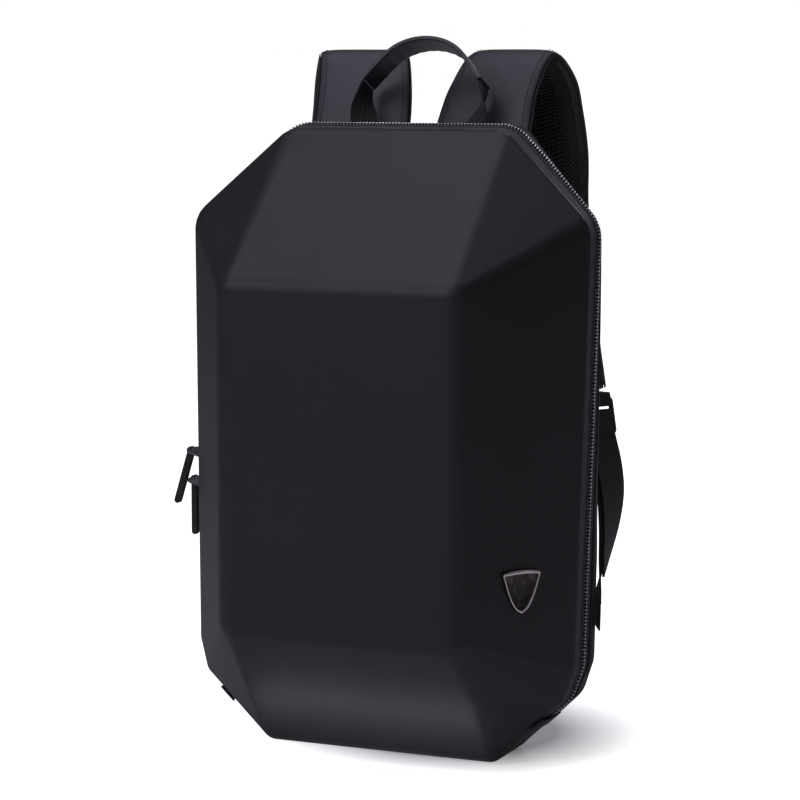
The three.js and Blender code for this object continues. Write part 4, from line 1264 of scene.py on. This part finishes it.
CAMERA_PLACE = Vector((815.47, -1833.46, 499.53)) * MM
CAMERA_AZIMUTH = math.radians(23.8334)
CAMERA_PITCH = math.radians(6.9743)
CAMERA_LENS = 126
LAMP_TINT = (0.98, 0.94, 1.09)
SHADOW_CENTRE = (0.03, 0.06, 0)
WORLD_STRENGTH = 0.07
FLOOR_RADIUS = 30

# Name, place, what it is aimed at, width and height in metres, and power in watts
LAMPS = (
    ("softbox", (-0.35, -0.3, 2.2), (0, 0, 0.25), (1.7, 1.7), 12),
    ("front_top", (-0.3, -1.5, 1.9), (0, 0, 0.48), (1.0, 0.5), 2.2),
    ("front_left", (-0.7, -1.4, 1.1), (0, 0, 0.42), (0.8, 0.6), 5),
    ("left_panel", (-1.1, -0.6, 0.7), (-0.15, 0, 0.35), (0.5, 0.5), 0.2),
    ("behind", (0.3, 2.4, 1.9), (0, 0, 0.3), (1.6, 1.2), 14),
    ("floor_bounce", (0, -0.068, 0.003), (0, -0.035, 0.02), (0.2, 0.02), 0.035),
)


class BACKPACK_OT_stage(bpy.types.Operator):
    """Sets the pale floor, the soft studio lights and the camera"""
    bl_idname = "backpack.stage"
    bl_label = "Stage"

    def execute(self, context):
        scene = context.scene
        scene.view_settings.view_transform = "Standard"
        self.floor()
        self.world(scene)
        for lamp in LAMPS:
            self.light(*lamp)
        camera = bpy.data.objects.new("camera", bpy.data.cameras.new("camera"))
        scene.collection.objects.link(camera)
        camera.data.lens = CAMERA_LENS
        camera.location = CAMERA_PLACE
        camera.rotation_euler = (math.pi / 2 - CAMERA_PITCH, 0, CAMERA_AZIMUTH)
        scene.camera = camera
        return {"FINISHED"}

    @staticmethod
    def light(name, place, aim, extent, power):
        data = bpy.data.lights.new(name, "AREA")
        data.shape = "RECTANGLE"
        data.size, data.size_y = extent
        data.energy = power
        data.color = LAMP_TINT
        lamp = bpy.data.objects.new(name, data)
        lamp.location = place
        lamp.rotation_euler = (Vector(aim) - Vector(place)).to_track_quat("-Z", "Y").to_euler()
        lamp.visible_camera = False
        bpy.context.scene.collection.objects.link(lamp)

    @staticmethod
    def world(scene):
        """White behind the object for the camera, and dim from the sides for its light."""
        world = bpy.data.worlds.new("studio")
        world.use_nodes = True
        scene.world = world
        tree = world.node_tree
        dim = tree.nodes["Background"]
        dim.inputs["Color"].default_value = (0.9, 0.92, 1, 1)
        dim.inputs["Strength"].default_value = WORLD_STRENGTH
        white = tree.nodes.new("ShaderNodeBackground")
        white.inputs["Color"].default_value = (1, 1, 1, 1)
        rays = tree.nodes.new("ShaderNodeLightPath")
        mix = tree.nodes.new("ShaderNodeMixShader")
        tree.links.new(rays.outputs["Is Camera Ray"], mix.inputs["Fac"])
        tree.links.new(dim.outputs[0], mix.inputs[1])
        tree.links.new(white.outputs[0], mix.inputs[2])
        tree.links.new(mix.outputs[0], tree.nodes["World Output"].inputs["Surface"])

    @staticmethod
    def floor():
        bm = bmesh.new()
        bmesh.ops.create_circle(bm, cap_ends=True, segments=96, radius=FLOOR_RADIUS)
        mesh = bpy.data.meshes.new("floor")
        bm.to_mesh(mesh)
        bm.free()
        floor = bpy.data.objects.new("floor", mesh)
        bpy.context.scene.collection.objects.link(floor)
        finish = Finish("pale_floor", (0.86, 0.86, 0.87), 0.9, Specular_IOR_Level=0.1)
        where = finish.add("TexCoord").outputs["Object"]
        reach = finish.add("VectorMath")
        reach.operation = "DISTANCE"
        reach.inputs[1].default_value = SHADOW_CENTRE
        finish.link(where, reach.inputs[0])
        # Seen by the camera, the floor glows an even white. Near SHADOW_CENTRE the glow fades to dark grey,
        # a painted shade round the bag's base, over which the real contact shadow falls
        glow_fading_to_painted_shade = finish.add("MapRange", From_Min=0.07, From_Max=0.15, To_Min=0.1, To_Max=1.05)
        finish.link(reach.outputs["Value"], glow_fading_to_painted_shade.inputs["Value"])
        rays = finish.add("LightPath")
        camera_glow_and_painted_shade = finish.math("MULTIPLY", glow_fading_to_painted_shade.outputs["Result"], rays.outputs["Is Camera Ray"])
        socket_value(finish.shader, {"Emission Color": (1, 1, 1, 1)})
        finish.link(camera_glow_and_painted_shade, finish.shader.inputs["Emission Strength"])
        mesh.materials.append(finish.material)


# Panel and registration

PIECES = ("shell", "body", "zip", "hardware", "webbing", "straps", "handle", "back", "stage")


class BACKPACK_PT_panel(bpy.types.Panel):
    """Lists the pieces and the sizes"""
    bl_idname = "BACKPACK_PT_panel"
    bl_label = "Hard Shell Backpack"
    bl_space_type = "VIEW_3D"
    bl_region_type = "UI"
    bl_category = "Backpack"

    def draw(self, context):
        for name in PIECES:
            self.layout.operator(f"backpack.{name}")
        for group in (context.scene.backpack_sizes, context.scene.backpack_colours):
            for name in group.bl_rna.properties.keys():
                if name not in ("rna_type", "name"):
                    self.layout.prop(group, name)


CLASSES = (
    BackpackSizes, BackpackColours,
    BACKPACK_OT_shell, BACKPACK_OT_body, BACKPACK_OT_zip, BACKPACK_OT_hardware, BACKPACK_OT_webbing,
    BACKPACK_OT_straps, BACKPACK_OT_handle, BACKPACK_OT_back, BACKPACK_OT_stage, BACKPACK_PT_panel,
)


def register():
    for item in CLASSES:
        bpy.utils.register_class(item)
    bpy.types.Scene.backpack_sizes = bpy.props.PointerProperty(type=BackpackSizes)
    bpy.types.Scene.backpack_colours = bpy.props.PointerProperty(type=BackpackColours)


def unregister():
    del bpy.types.Scene.backpack_colours
    del bpy.types.Scene.backpack_sizes
    for item in reversed(CLASSES):
        bpy.utils.unregister_class(item)


def main():
    register()
    for name in PIECES:
        getattr(bpy.ops.backpack, name)()


if __name__ == "__main__":
    main()
